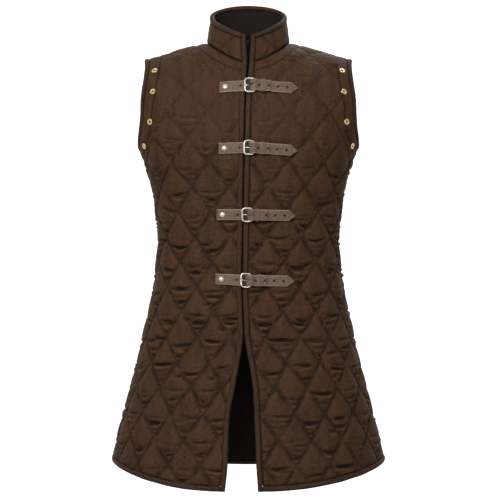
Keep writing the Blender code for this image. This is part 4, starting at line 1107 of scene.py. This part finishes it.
def resample(path, away, out, closed):
    """Points evenly spaced along a path, with the two directions carried along."""
    if closed:
        path, away, out = (np.concatenate([line, line[:1]]) for line in (path, away, out))
    run = np.concatenate([[0.0], np.cumsum(np.linalg.norm(np.diff(path, axis=0), axis=-1))])
    count = int(run[-1] / BINDING_STEP)
    at = np.linspace(0.0, run[-1], count + 1)[: count if closed else count + 1]
    path, away, out = (
        np.stack([np.interp(at, run, line[:, k]) for k in range(3)], -1) for line in (path, away, out)
    )
    return at, path, unit(away), unit(out)


def binding(name, path, away, out, seed, width=BINDING_WIDTH, closed=False, flip=False, lap_from=0.0):
    """A rolled binding along a panel's edge: the path, the way past the edge and the way off the face."""
    run, path, away, out = resample(path, away, out, closed)
    half_wide, half_thick = (width - BINDING_GAP) / 2, WALL_THICKNESS / 2 + BINDING_PROUD
    turn = 2 * np.pi * np.arange(BINDING_SIDES) / BINDING_SIDES
    c, s = np.cos(turn), np.sin(turn)
    size = (np.abs(c) ** BINDING_SQUARENESS + np.abs(s) ** BINDING_SQUARENESS) ** (-1 / BINDING_SQUARENESS)
    grid_run = run[:, None] + 0 * turn
    plump = 1 + PLUMPNESS * unevenness(grid_run, 0.01 * turn + 0 * grid_run, PLUMP_LENGTH, seed)
    patch = np.clip(unevenness(grid_run, 0 * grid_run, ROLL_PATCH_LENGTH, seed + 1), 0.0, 1.0)
    twist = ROLL_TWIST * patch * np.sin(2 * np.pi * grid_run / ROLL_TWIST_LENGTH + ROLL_SLANT * turn)
    radius = size * plump
    past = BINDING_GAP + half_wide + (half_wide * radius + twist) * c
    # The outer lip laps over the drawn-in edge of the quilting, but not where another binding butts.
    from_end = np.minimum(run, run[-1] - run)
    lapping = np.ones_like(run) if closed else np.clip((from_end - lap_from) / LAP_EASE, 0.0, 1.0)
    lip = np.clip((s - 0.45) / 0.19, 0.0, 1.0) * np.clip(-c / 0.77, 0.0, 1.0)
    past = past - ROLL_LIP * lapping[:, None] * lip
    proud = -WALL_THICKNESS / 2 + (half_thick * radius + twist) * s
    points = path[:, None] + away[:, None] * past[..., None] + out[:, None] * proud[..., None]
    rows, sides = points.shape[:2]
    number = np.arange(rows * sides).reshape(rows, sides)
    after = np.roll(number, -1, axis=0) if closed else number[1:]
    before = number if closed else number[:-1]
    quads = np.stack([before, np.roll(before, -1, axis=1), np.roll(after, -1, axis=1), after], axis=-1)
    faces = quads.reshape(-1, 4).tolist()
    if not closed:
        faces += [number[0][::-1].tolist(), number[-1].tolist()]
    if flip:
        faces = [face[::-1] for face in faces]
    piece = add_piece(name, points.reshape(-1, 3).tolist(), faces, binding_cotton)
    add_map(piece, "cloth", np.stack([ROLL_MAP * turn + 0 * grid_run, grid_run], -1).reshape(-1, 2))
    return piece


bindings = {}
for side, name in ((1, "left"), (-1, "right")):
    front, back = panels[f"front_{name}"], panels[f"back_{name}"]
    corner, torso = front.corner_row, front.torso_rows
    edge = slice(None) if side > 0 else slice(None, None, -1)
    collar_edge = collar_points[1:, edge][:, :2]
    path = np.concatenate([front.points[: corner + 1, 0], collar_edge[:, 0]])
    past_front = front.points[: corner + 1, 0] - front.points[: corner + 1, 1]
    away = unit(np.concatenate([past_front, collar_edge[:, 0] - collar_edge[:, 1]]))
    out = np.concatenate([front.normals[: corner + 1, 0], collar_normals[1:, edge][:, 0]])
    below = path[0] + unit(path[0] - path[1]) * BINDING_WIDTH
    above = path[-1] + unit(path[-1] - path[-2]) * BINDING_WIDTH
    path = np.concatenate([[below], path, [above]])
    away = np.concatenate([away[:1], away, away[-1:]])
    out = np.concatenate([out[:1], out, out[-1:]])
    bindings[f"front_edge_binding_{name}"] = binding(
        f"front_edge_roll_{name}", path, away, out, 200 + side, flip=side < 0, lap_from=BINDING_WIDTH + 0.001
    )

    hem = front.points[0].copy()
    hem[0] = hem[0] + unit(hem[0] - hem[1]) * 0.0002
    away = unit(hem - front.points[1])
    bindings[f"hem_binding_{name}"] = binding(
        f"hem_roll_{name}", hem, away, front.normals[0], 210 + side, flip=side > 0
    )

    path = np.concatenate([front.points[torso:, -1], back.points[-2:torso:-1, -1]])
    out = np.concatenate([front.normals[torso:, -1], back.normals[-2:torso:-1, -1]])
    ahead = np.roll(path, -1, axis=0) - np.roll(path, 1, axis=0)
    away = unit(np.cross(out, ahead)) * -side
    bindings[f"armhole_binding_{name}"] = binding(
        f"armhole_roll_{name}", path, away, out, 220 + side, ARMHOLE_BINDING_WIDTH, True, side > 0
    )

left, right = panels["back_left"], panels["back_right"]
path = np.concatenate([right.points[0][:0:-1], left.points[0]])
down = np.concatenate([(right.points[0] - right.points[1])[:0:-1], left.points[0] - left.points[1]])
out = np.concatenate([right.normals[0][:0:-1], left.normals[0]])
bindings["hem_binding_back"] = binding("hem_roll_back", path, unit(down), out, 230)
top = collar_points[-1]
away = unit(top - collar_points[-2])
bindings["collar_binding"] = binding("collar_roll", top, away, collar_normals[-1], 240)
for name, piece in bindings.items():
    put_in_place(piece, name)

# Columns of a flat cut of a panel or its lining: the panel, the rectangle it fits in, its own area,
# and the bindings its sheet takes with it. No cuts are listed here.
Cut = namedtuple("Cut", "panel width length area bound_with")


# --- Eyelets ---------------------------------------------------------------------------------------
# Rolled brass eyelets round both armholes, pale with use. Each has a domed rim on the cloth and a
# barrel through its own hole.

EYELET_RADIUS = 0.0055
EYELET_HOLE_RADIUS = 0.0025
EYELET_BARREL_RADIUS = 0.0031
EYELET_CLOTH_HOLE_RADIUS = 0.0035
EYELET_RIM_HEIGHT = 0.0014
EYELET_SIDES = 32
CUTTER_SIDES = 24


def choose(kind, test):
    """Select only those verts, edges or faces of the piece being edited that pass a test."""
    bpy.ops.mesh.select_mode(type={"verts": "VERT", "edges": "EDGE", "faces": "FACE"}[kind])
    bpy.ops.mesh.select_all(action="DESELECT")
    edited = bmesh.from_edit_mesh(bpy.context.object.data)
    for item in getattr(edited, kind):
        if test(item):
            item.select_set(True)
    edited.select_flush_mode()
    bmesh.update_edit_mesh(bpy.context.object.data)


def middle(item):
    """Middle of an edge or a face."""
    return sum((vert.co for vert in item.verts), Vector()) / len(item.verts)


def extent(edge):
    """How far an edge runs along each axis."""
    return Vector([abs(part) for part in edge.verts[0].co - edge.verts[1].co])


def is_sharp(edge):
    """Whether an edge's two faces meet at more than 50 degrees."""
    return edge.calc_face_angle(0.0) > math.radians(50)


def copy_model(model, name):
    """A copy of a model, with a mesh of its own."""
    piece = model.copy()
    piece.data = model.data.copy()
    piece.name = name
    bpy.context.scene.collection.objects.link(piece)
    return piece


def cut_away(piece, cutters, solver):
    """Cut several shapes out of a piece at once."""
    bpy.ops.object.select_all(action="DESELECT")
    for shape in cutters:
        shape.select_set(True)
    bpy.context.view_layer.objects.active = cutters[0]
    bpy.ops.object.join()
    joined = bpy.context.object
    bpy.context.view_layer.objects.active = piece
    cut = piece.modifiers.new("cut", "BOOLEAN")
    cut.solver = solver
    cut.operation = "DIFFERENCE"
    cut.object = joined
    bpy.ops.object.modifier_apply(modifier="cut")
    bpy.data.objects.remove(joined)


def metal(name, bright, dull, roughness, wear_scale):
    """Polished plate that has dulled in patches."""
    made, tree, shader = new_material(name)
    place = add_node(tree, "TexCoord", {}).outputs["Object"]
    patches = add_node(tree, "TexNoise", {"Vector": place, "Scale": wear_scale, "Detail": 3.0})
    share = add_node(tree, "MapRange", {"Value": patches, "From Min": 0.42, "From Max": 0.68})
    colour = add_node(
        tree, "Mix", {"Factor": share, "A": linear(bright), "B": linear(dull)}, data_type="RGBA"
    )
    rough = add_node(tree, "MapRange", {"Value": share, "To Min": roughness, "To Max": roughness + 0.2})
    dents = add_node(tree, "Bump", {"Height": patches, "Strength": 0.25, "Distance": 0.0003})
    fill(shader, {"Base Color": colour, "Roughness": rough, "Normal": dents, "Metallic": 0.72})
    return made


pale_brass = metal("pale_polished_brass", "#F8E2AC", "#98763E", 0.25, 320.0)

bpy.ops.object.select_all(action="DESELECT")
bpy.ops.mesh.primitive_cylinder_add(
    vertices=EYELET_SIDES,
    radius=EYELET_BARREL_RADIUS,
    depth=EYELET_RIM_HEIGHT + WALL_THICKNESS,
    location=(0.0, 0.0, (EYELET_RIM_HEIGHT - WALL_THICKNESS) / 2),
)
bpy.ops.object.transform_apply(location=True, rotation=True, scale=True)
bpy.ops.object.mode_set(mode="EDIT")
choose("faces", lambda face: abs(face.normal.z) > 0.9)
bpy.ops.mesh.inset(thickness=EYELET_BARREL_RADIUS - EYELET_HOLE_RADIUS)
bpy.ops.mesh.bridge_edge_loops()
bpy.ops.mesh.select_all(action="SELECT")
bpy.ops.mesh.bisect(plane_co=(0.0, 0.0, SEAM), plane_no=(0.0, 0.0, 1.0))
choose(
    "faces", lambda face: middle(face).z > SEAM and face.normal.dot(middle(face) * Vector((1, 1, 0))) > 0.0002
)
bpy.ops.mesh.extrude_region_shrink_fatten(
    TRANSFORM_OT_shrink_fatten={"value": EYELET_RADIUS - EYELET_BARREL_RADIUS}
)
choose("edges", lambda edge: middle(edge).z > SEAM + 0.0005 and is_sharp(edge) and extent(edge).z < 0.0001)
bpy.ops.mesh.bevel(offset=0.0006, segments=4)
bpy.ops.object.mode_set(mode="OBJECT")
bpy.ops.object.shade_smooth_by_angle(angle=math.radians(50))
eyelet_model = bpy.context.object

holes = {"front_left": [], "front_right": [], "back": []}
for side, name in ((1, "left"), (-1, "right")):
    for number, eyelet in enumerate(EYELETS, 1):
        x, z = np.array([side * eyelet.across]), np.array([eyelet.height])
        out = Vector(face_normal(eyelet.face, x, z)[0])
        turned = out.to_track_quat("Z", "Y").to_matrix().to_4x4()
        spot = Matrix.Translation(face_point(eyelet.face, x, z)[0]) @ turned
        holes[f"front_{name}" if eyelet.face == "front" else "back"].append(spot)
        piece = copy_model(eyelet_model, f"brass_eyelet_{name}_{number}")
        piece.data.transform(spot)
        piece.data.materials.clear()
        piece.data.materials.append(pale_brass)
        put_in_place(piece, f"eyelet_{name}_{number}")
bpy.data.objects.remove(eyelet_model)


for name, spots in holes.items():
    for piece in (quilts[name], linings[name]):
        cutters = []
        for spot in spots:
            bpy.ops.mesh.primitive_cylinder_add(
                vertices=CUTTER_SIDES, radius=EYELET_CLOTH_HOLE_RADIUS, depth=4 * WALL_THICKNESS
            )
            bpy.context.object.data.transform(spot)
            cutters.append(bpy.context.object)
        cut_away(piece, cutters, "EXACT")


# --- Straps and buckles ----------------------------------------------------------------------------
# Four straps of dull brown leather, 19 mm wide: a pointed, punched billet with a domed brass rivet, a
# folded chape that holds a nickel single-bar buckle, its prong, and a fixed keeper. Cut edges are
# rubbed pale.

STRAP_HALF_WIDTH = 0.0095
BILLET_THICKNESS = 0.0020
BILLET_POINT_START = 0.0730
BILLET_TIP_HALF_WIDTH = 0.0006
BILLET_STATIONS = 92
BILLET_HOLES = (-0.0170, 0.0164, 0.0327, 0.0492, 0.0657)
BILLET_HOLE_RADIUS = 0.0014
BILLET_PITCH = 0.01643
BILLET_SLOT = (-0.0042, 0.0080)
PRONG_SLOT_HALF_WIDTH = 0.0012
Rise = namedtuple("Rise", "along middle")
BILLET_RISE = (
    Rise(-0.0535, 0.0016),
    Rise(-0.0100, 0.0016),
    Rise(-0.0072, 0.0021),
    Rise(0.0000, 0.0060),
    Rise(0.0055, 0.0079),
    Rise(0.0105, 0.0079),
    Rise(0.0150, 0.0050),
    Rise(0.0170, 0.0046),
    Rise(0.0345, 0.0046),
    Rise(0.0400, 0.0016),
    Rise(0.0850, 0.0016),
)
RISE_EASE = 0.0007
CHAPE_HALF_WIDTH = 0.0084
CHAPE_THICKNESS = 0.0012
CHAPE_END = 0.0340
CHAPE_LOWER = 0.0012
CHAPE_UPPER = 0.0027
CHAPE_MEET = 0.0155
CHAPE_LOOP_RADIUS = 0.0024
CHAPE_SLOT = (0.00315, 0.01265)
KEEPER_LENGTH = 0.0060
KEEPER_THICKNESS = 0.0012
KEEPER_INNER_HALF_WIDTH = 0.0100
KEEPER_FOOT = 0.0005
KEEPER_INNER_TOP = 0.0068
WIRE_RADIUS = 0.0013
FRAME_HALF_LENGTH = 0.0086
FRAME_HALF_WIDTH = 0.0117
FRAME_CORNER = 0.0050
HEEL_HEIGHT = 0.0036
FAR_BAR_HEIGHT = 0.0050
PRONG_RADIUS = 0.00095
PRONG_LOOP_RADIUS = 0.0024
PRONG_TIP = -0.0110
RIVET_PLACE = -0.0435
RIVET_RADIUS = 0.0045
RIVET_HEIGHT = 0.0024
RIVET_BASE = 0.0029
CUT_DEPTH = 0.03

leather, tree, shader = new_material("worn_brown_strap_leather")
hide = add_node(tree, "UVMap", {}, uv_map="strap")
apart = add_node(tree, "SeparateXYZ", {"Vector": hide})
from_middle = add_node(tree, "Math", {0: apart.outputs["Y"]}, operation="ABSOLUTE")
rubbed_and_highlit = add_node(tree, "MapRange", {"Value": from_middle, "From Min": 0.0078, "From Max": 0.0094})
scuffs = add_node(tree, "TexNoise", {"Vector": hide, "Scale": 260.0, "Detail": 4.0, "Roughness": 0.7})
scuffed = add_node(tree, "MapRange", {"Value": scuffs, "From Min": 0.38, "From Max": 0.66})
dyed = add_node(
    tree, "Mix", {"Factor": scuffed, "A": linear("#4A3A2F"), "B": linear("#6F5A4A")}, data_type="RGBA"
)
edge_share = add_node(tree, "Math", {0: rubbed_and_highlit, 1: 0.62}, operation="MULTIPLY")
edged = add_node(tree, "Mix", {"Factor": edge_share, "A": dyed, "B": linear("#A08D7C")}, data_type="RGBA")
# Painted shadow darkens the leather where it runs under the buckle.
place = add_node(tree, "Math", {0: apart.outputs["X"], 1: 0.0035}, operation="ADD")
from_bar = add_node(tree, "Math", {0: place}, operation="ABSOLUTE")
painted_buckle_shadow = add_node(
    tree, "MapRange", {"Value": from_bar, "From Min": 0.0055, "From Max": 0.0030, "To Max": 0.85}
)
# Painted shade darkens a ring round each punched hole and the leather seen through it, within the punched
# stretch of the strap.
off_hole = add_node(
    tree, "Math", {0: apart.outputs["X"], 1: BILLET_PITCH / 2, 2: -BILLET_PITCH / 2}, operation="WRAP"
)
beside = add_node(tree, "CombineXYZ", {"X": off_hole, "Y": apart.outputs["Y"]})
reach = add_node(tree, "VectorMath", {0: beside}, operation="LENGTH")
painted_hole_shade = add_node(tree, "MapRange", {"Value": reach, "From Min": 0.0029, "From Max": 0.0016, "To Max": 0.95})
punched = add_node(
    tree, "Math", {0: apart.outputs["X"], 1: 1.5 * BILLET_PITCH, 2: 3.0 * BILLET_PITCH}, operation="COMPARE"
)
ringed = add_node(tree, "Math", {0: painted_hole_shade, 1: punched}, operation="MULTIPLY")
# Both painted shades, round the holes and under the buckle, darken the leather.
painted_leather_shade = add_node(tree, "Math", {0: ringed, 1: painted_buckle_shadow}, operation="MAXIMUM")
wear_and_painted_shade = add_node(tree, "Mix", {"Factor": painted_leather_shade, "A": edged, "B": linear("#120B08")}, data_type="RGBA")
# Grain pores are 0.3 mm, too fine to show, so they are drawn 0.8 mm apart.
pores = add_node(tree, "TexVoronoi", {"Vector": hide, "Scale": 1250.0})
grain = add_node(tree, "Bump", {"Height": pores, "Strength": 0.5, "Distance": 0.0003})
fill(shader, {"Base Color": wear_and_painted_shade, "Normal": grain, "Roughness": 0.55, "Specular IOR Level": 0.3})

nickel = metal("satin_nickel_plate", "#FFF6E6", "#B3A795", 0.26, 260.0)


def edit(action, name, location, **settings):
    """Add a primitive alone in edit mode, its place and size applied."""
    bpy.ops.object.select_all(action="DESELECT")
    action(location=location, **settings)
    made = bpy.context.object
    made.name = name
    bpy.ops.object.transform_apply(location=True, rotation=True, scale=True)
    bpy.ops.object.mode_set(mode="EDIT")
    return made


def cut_slots(piece, boxes, rounds):
    """Cut straight slots (start, end) and round holes through a flat strap piece along its middle."""
    cutters = []
    bpy.ops.object.mode_set(mode="OBJECT")
    for start, end in boxes:
        bpy.ops.mesh.primitive_cube_add(
            size=1.0,
            location=((start + end) / 2, 0.0, 0.0),
            scale=(end - start, 2 * PRONG_SLOT_HALF_WIDTH, CUT_DEPTH),
        )
        cutters.append(bpy.context.object)
    for place in rounds:
        bpy.ops.mesh.primitive_cylinder_add(
            vertices=20, radius=BILLET_HOLE_RADIUS, depth=CUT_DEPTH, location=(place, 0.0, 0.0)
        )
        cutters.append(bpy.context.object)
    cut_away(piece, cutters, "MANIFOLD")


def finished(piece, finish, angle=40):
    """Leave edit mode, smooth the piece and give it its finish."""
    if bpy.context.object.mode == "EDIT":
        bpy.ops.object.mode_set(mode="OBJECT")
    bpy.ops.object.select_all(action="DESELECT")
    piece.select_set(True)
    bpy.context.view_layer.objects.active = piece
    bpy.ops.object.shade_smooth_by_angle(angle=math.radians(angle))
    piece.data.materials.clear()
    piece.data.materials.append(finish)
    return piece


def corners(piece):
    """Coordinates of a piece's vertices."""
    flat = np.zeros(3 * len(piece.data.vertices), np.float32)
    piece.data.vertices.foreach_get("co", flat)
    return flat.reshape(-1, 3).astype(float)


# Billet: a bar cut to a point, its long edges eased, then punched and slotted.
billet = edit(
    bpy.ops.mesh.primitive_cube_add,
    "billet_model",
    ((BILLET_START + BILLET_TIP) / 2, 0.0, 0.0),
    size=1.0,
    scale=(BILLET_TIP - BILLET_START, 2 * STRAP_HALF_WIDTH, BILLET_THICKNESS),
)
choose("edges", lambda edge: extent(edge).x > 0.05)
bpy.ops.mesh.subdivide(number_cuts=BILLET_STATIONS)
choose("edges", lambda edge: extent(edge).y > 0.01)
bpy.ops.mesh.subdivide(number_cuts=5)
for side in (1, -1):
    bpy.ops.mesh.select_all(action="SELECT")
    slant = Vector((STRAP_HALF_WIDTH - BILLET_TIP_HALF_WIDTH, side * (BILLET_TIP - BILLET_POINT_START), 0.0))
    bpy.ops.mesh.bisect(
        plane_co=(BILLET_POINT_START, side * STRAP_HALF_WIDTH, 0.0),
        plane_no=slant.normalized(),
        threshold=0.00001,
        clear_outer=True,
        use_fill=True,
    )
choose("edges", is_sharp)
bpy.ops.mesh.bevel(offset=0.00045, segments=3)
cut_slots(billet, [BILLET_SLOT], BILLET_HOLES)
finished(billet, leather)
flat = corners(billet)
add_map(billet, "strap", flat[:, :2])
table = np.array(BILLET_RISE)
for vert, (along, up, off) in zip(billet.data.vertices, flat):
    eased = [np.interp(along + ease, table[:, 0], table[:, 1]) for ease in (-RISE_EASE, 0.0, RISE_EASE)]
    vert.co.z = off + sum(eased) / len(eased)

# Chape: a flat section run to the heel bar, spun half round it and run back on top.
chape = edit(
    bpy.ops.mesh.primitive_plane_add,
    "chape_model",
    (CHAPE_END, 0.0, CHAPE_LOWER),
    size=1.0,
    rotation=(0.0, math.pi / 2, 0.0),
)
bpy.ops.transform.resize(
    value=(1.0, 2 * CHAPE_HALF_WIDTH, CHAPE_THICKNESS), center_override=(CHAPE_END, 0.0, CHAPE_LOWER)
)
bpy.ops.mesh.extrude_region_move(TRANSFORM_OT_translate={"value": (FRAME_HALF_LENGTH - CHAPE_END, 0.0, 0.0)})
bpy.ops.mesh.spin(steps=14, angle=math.pi, center=(FRAME_HALF_LENGTH, 0.0, HEEL_HEIGHT), axis=(0.0, 1.0, 0.0))
bpy.ops.mesh.extrude_region_move(
    TRANSFORM_OT_translate={
        "value": (CHAPE_MEET - FRAME_HALF_LENGTH, 0.0, CHAPE_UPPER - HEEL_HEIGHT - CHAPE_LOOP_RADIUS)
    }
)
bpy.ops.mesh.extrude_region_move(TRANSFORM_OT_translate={"value": (CHAPE_END - CHAPE_MEET, 0.0, 0.0)})
bpy.ops.mesh.select_all(action="SELECT")
bpy.ops.mesh.normals_make_consistent(inside=False)
choose("edges", lambda edge: extent(edge).x > 0.01)
bpy.ops.mesh.subdivide(number_cuts=14)
choose("edges", is_sharp)
bpy.ops.mesh.bevel(offset=0.00025, segments=2)
cut_slots(chape, [CHAPE_SLOT], [])
finished(chape, leather)
flat = corners(chape)
add_map(chape, "strap", flat[:, :2] * (1.0, STRAP_HALF_WIDTH / CHAPE_HALF_WIDTH))

# Keeper: a block with its upper corners rounded, hollowed, and its floor cut away.
keeper_top = KEEPER_INNER_TOP + KEEPER_THICKNESS
keeper_floor = KEEPER_FOOT - KEEPER_THICKNESS
keeper = edit(
    bpy.ops.mesh.primitive_cube_add,
    "keeper_model",
    (0.0, 0.0, (keeper_top + keeper_floor) / 2),
    size=1.0,
    scale=(KEEPER_LENGTH, 2 * (KEEPER_INNER_HALF_WIDTH + KEEPER_THICKNESS), keeper_top - keeper_floor),
)
choose("edges", lambda edge: middle(edge).z > keeper_top - 0.0001 and abs(middle(edge).x) < 0.001)
bpy.ops.mesh.bevel(offset=0.0017, segments=5)
choose("faces", lambda face: abs(face.normal.x) > 0.9)
bpy.ops.mesh.inset(thickness=KEEPER_THICKNESS)
bpy.ops.mesh.bridge_edge_loops()
bpy.ops.mesh.select_all(action="SELECT")
bpy.ops.mesh.bisect(
    plane_co=(0.0, 0.0, KEEPER_FOOT + 0.0001), plane_no=(0.0, 0.0, 1.0), clear_inner=True, use_fill=True
)
choose("edges", is_sharp)
bpy.ops.mesh.bevel(offset=0.00025, segments=2)
finished(keeper, leather)
flat = corners(keeper)
rub = flat[:, 0] * 2 * STRAP_HALF_WIDTH / KEEPER_LENGTH
add_map(keeper, "strap", np.stack([flat[:, 1] + flat[:, 2] + 0.5, rub], -1))

# Buckle: a ring of wire pulled out at its four corners, its far bar a little thicker, and tipped up.
buckle = edit(
    bpy.ops.mesh.primitive_torus_add,
    "buckle_model",
    (0.0, 0.0, 0.0),
    major_segments=64,
    minor_segments=18,
    major_radius=FRAME_CORNER,
    minor_radius=WIRE_RADIUS,
)
for sign in (1, -1):
    choose("verts", lambda vert: sign * vert.co.x > 0.00001)
    bpy.ops.transform.translate(value=(sign * (FRAME_HALF_LENGTH - FRAME_CORNER), 0.0, 0.0))
    choose("verts", lambda vert: sign * vert.co.y > 0.00001)
    bpy.ops.transform.translate(value=(0.0, sign * (FRAME_HALF_WIDTH - FRAME_CORNER), 0.0))
choose("verts", lambda vert: vert.co.x < -FRAME_HALF_LENGTH + 1.5 * WIRE_RADIUS)
bpy.ops.transform.shrink_fatten(value=0.00022)
bpy.ops.object.mode_set(mode="OBJECT")
buckle.rotation_euler.y = math.asin((FAR_BAR_HEIGHT - HEEL_HEIGHT) / (2 * FRAME_HALF_LENGTH))
buckle.location.z = (HEEL_HEIGHT + FAR_BAR_HEIGHT) / 2
bpy.ops.object.transform_apply(location=True, rotation=True, scale=True)
finished(buckle, nickel, 60)

# Prong: a round section spun round the heel bar, then drawn out to rest on the far bar.
loop_start = math.radians(-150)
rest = FAR_BAR_HEIGHT + WIRE_RADIUS + SEAM + PRONG_RADIUS
prong = edit(
    bpy.ops.mesh.primitive_circle_add,
    "prong_model",
    (
        FRAME_HALF_LENGTH + PRONG_LOOP_RADIUS * math.cos(loop_start),
        0.0,
        HEEL_HEIGHT + PRONG_LOOP_RADIUS * math.sin(loop_start),
    ),
    vertices=14,
    radius=PRONG_RADIUS,
    fill_type="NGON",
    rotation=(0.0, -loop_start, 0.0),
)
bpy.ops.mesh.spin(
    steps=20, angle=math.radians(240), center=(FRAME_HALF_LENGTH, 0.0, HEEL_HEIGHT), axis=(0.0, -1.0, 0.0)
)
bpy.ops.mesh.extrude_region_move(
    TRANSFORM_OT_translate={
        "value": (-2 * FRAME_HALF_LENGTH, 0.0, rest - HEEL_HEIGHT - PRONG_LOOP_RADIUS)
    }
)
bpy.ops.mesh.extrude_region_move(
    TRANSFORM_OT_translate={"value": (PRONG_TIP + FRAME_HALF_LENGTH, 0.0, -PRONG_RADIUS)}
)
bpy.ops.transform.resize(value=(1.0, 0.7, 0.7), center_override=(PRONG_TIP, 0.0, rest - PRONG_RADIUS))
bpy.ops.mesh.select_all(action="SELECT")
bpy.ops.mesh.normals_make_consistent(inside=False)
finished(prong, nickel, 60)

# Rivet: a low dome over a narrow flange, its plating rubbed nearly white.
rubbed_brass = metal("rubbed_pale_brass", "#FFF8E4", "#CDB88C", 0.22, 320.0)
rivet = edit(
    bpy.ops.mesh.primitive_uv_sphere_add,
    "rivet_model",
    (0.0, 0.0, 0.0),
    segments=28,
    ring_count=16,
    radius=RIVET_RADIUS,
    scale=(0.93, 0.93, RIVET_HEIGHT / RIVET_RADIUS),
)
bpy.ops.mesh.bisect(plane_co=(0.0, 0.0, 0.0004), plane_no=(0.0, 0.0, 1.0), clear_inner=True, use_fill=True)
choose("faces", lambda face: face.normal.z < -0.9)
bpy.ops.mesh.extrude_region_move(TRANSFORM_OT_translate={"value": (0.0, 0.0, -0.0001)})
bpy.ops.transform.resize(value=(1.07, 1.07, 1.0), center_override=(0.0, 0.0, 0.0003))
bpy.ops.mesh.extrude_region_move(TRANSFORM_OT_translate={"value": (0.0, 0.0, -0.0003)})
bpy.ops.mesh.select_all(action="SELECT")
bpy.ops.mesh.normals_make_consistent(inside=False)
bpy.ops.object.mode_set(mode="OBJECT")
rivet.data.transform(Matrix.Translation((RIVET_PLACE, 0.0, RIVET_BASE)))
finished(rivet, rubbed_brass, 50)


def lay(model, name, node, strap, shift):
    """A copy of a flat strap piece bent onto the front: X along the strap, Y up, Z off the cloth."""
    piece = copy_model(model, name)
    along, up, off = corners(piece).T
    along = along + shift
    x, z = strap.across + along, strap.height + strap_sway(strap, along) + up
    points = face_point("front", x, z) + face_normal("front", x, z) * (off + STRAP_LIFT)[:, None]
    piece.data.vertices.foreach_set("co", points.ravel().astype(np.float32))
    piece.data.update()
    put_in_place(piece, node)


for number, strap in enumerate(STRAPS, 1):
    keeper_shift = strap.keeper_start + KEEPER_LENGTH / 2
    lay(billet, f"strap_billet_{number}", f"billet_{number}", strap, 0.0)
    lay(chape, f"strap_chape_{number}", f"chape_{number}", strap, 0.0)
    lay(keeper, f"strap_keeper_{number}", f"keeper_{number}", strap, keeper_shift)
    lay(buckle, f"nickel_buckle_{number}", f"buckle_{number}", strap, 0.0)
    lay(prong, f"nickel_prong_{number}", f"prong_{number}", strap, 0.0)
    lay(rivet, f"brass_rivet_{number}", f"rivet_{number}", strap, 0.0)
for model in (billet, chape, keeper, buckle, prong, rivet):
    bpy.data.objects.remove(model)
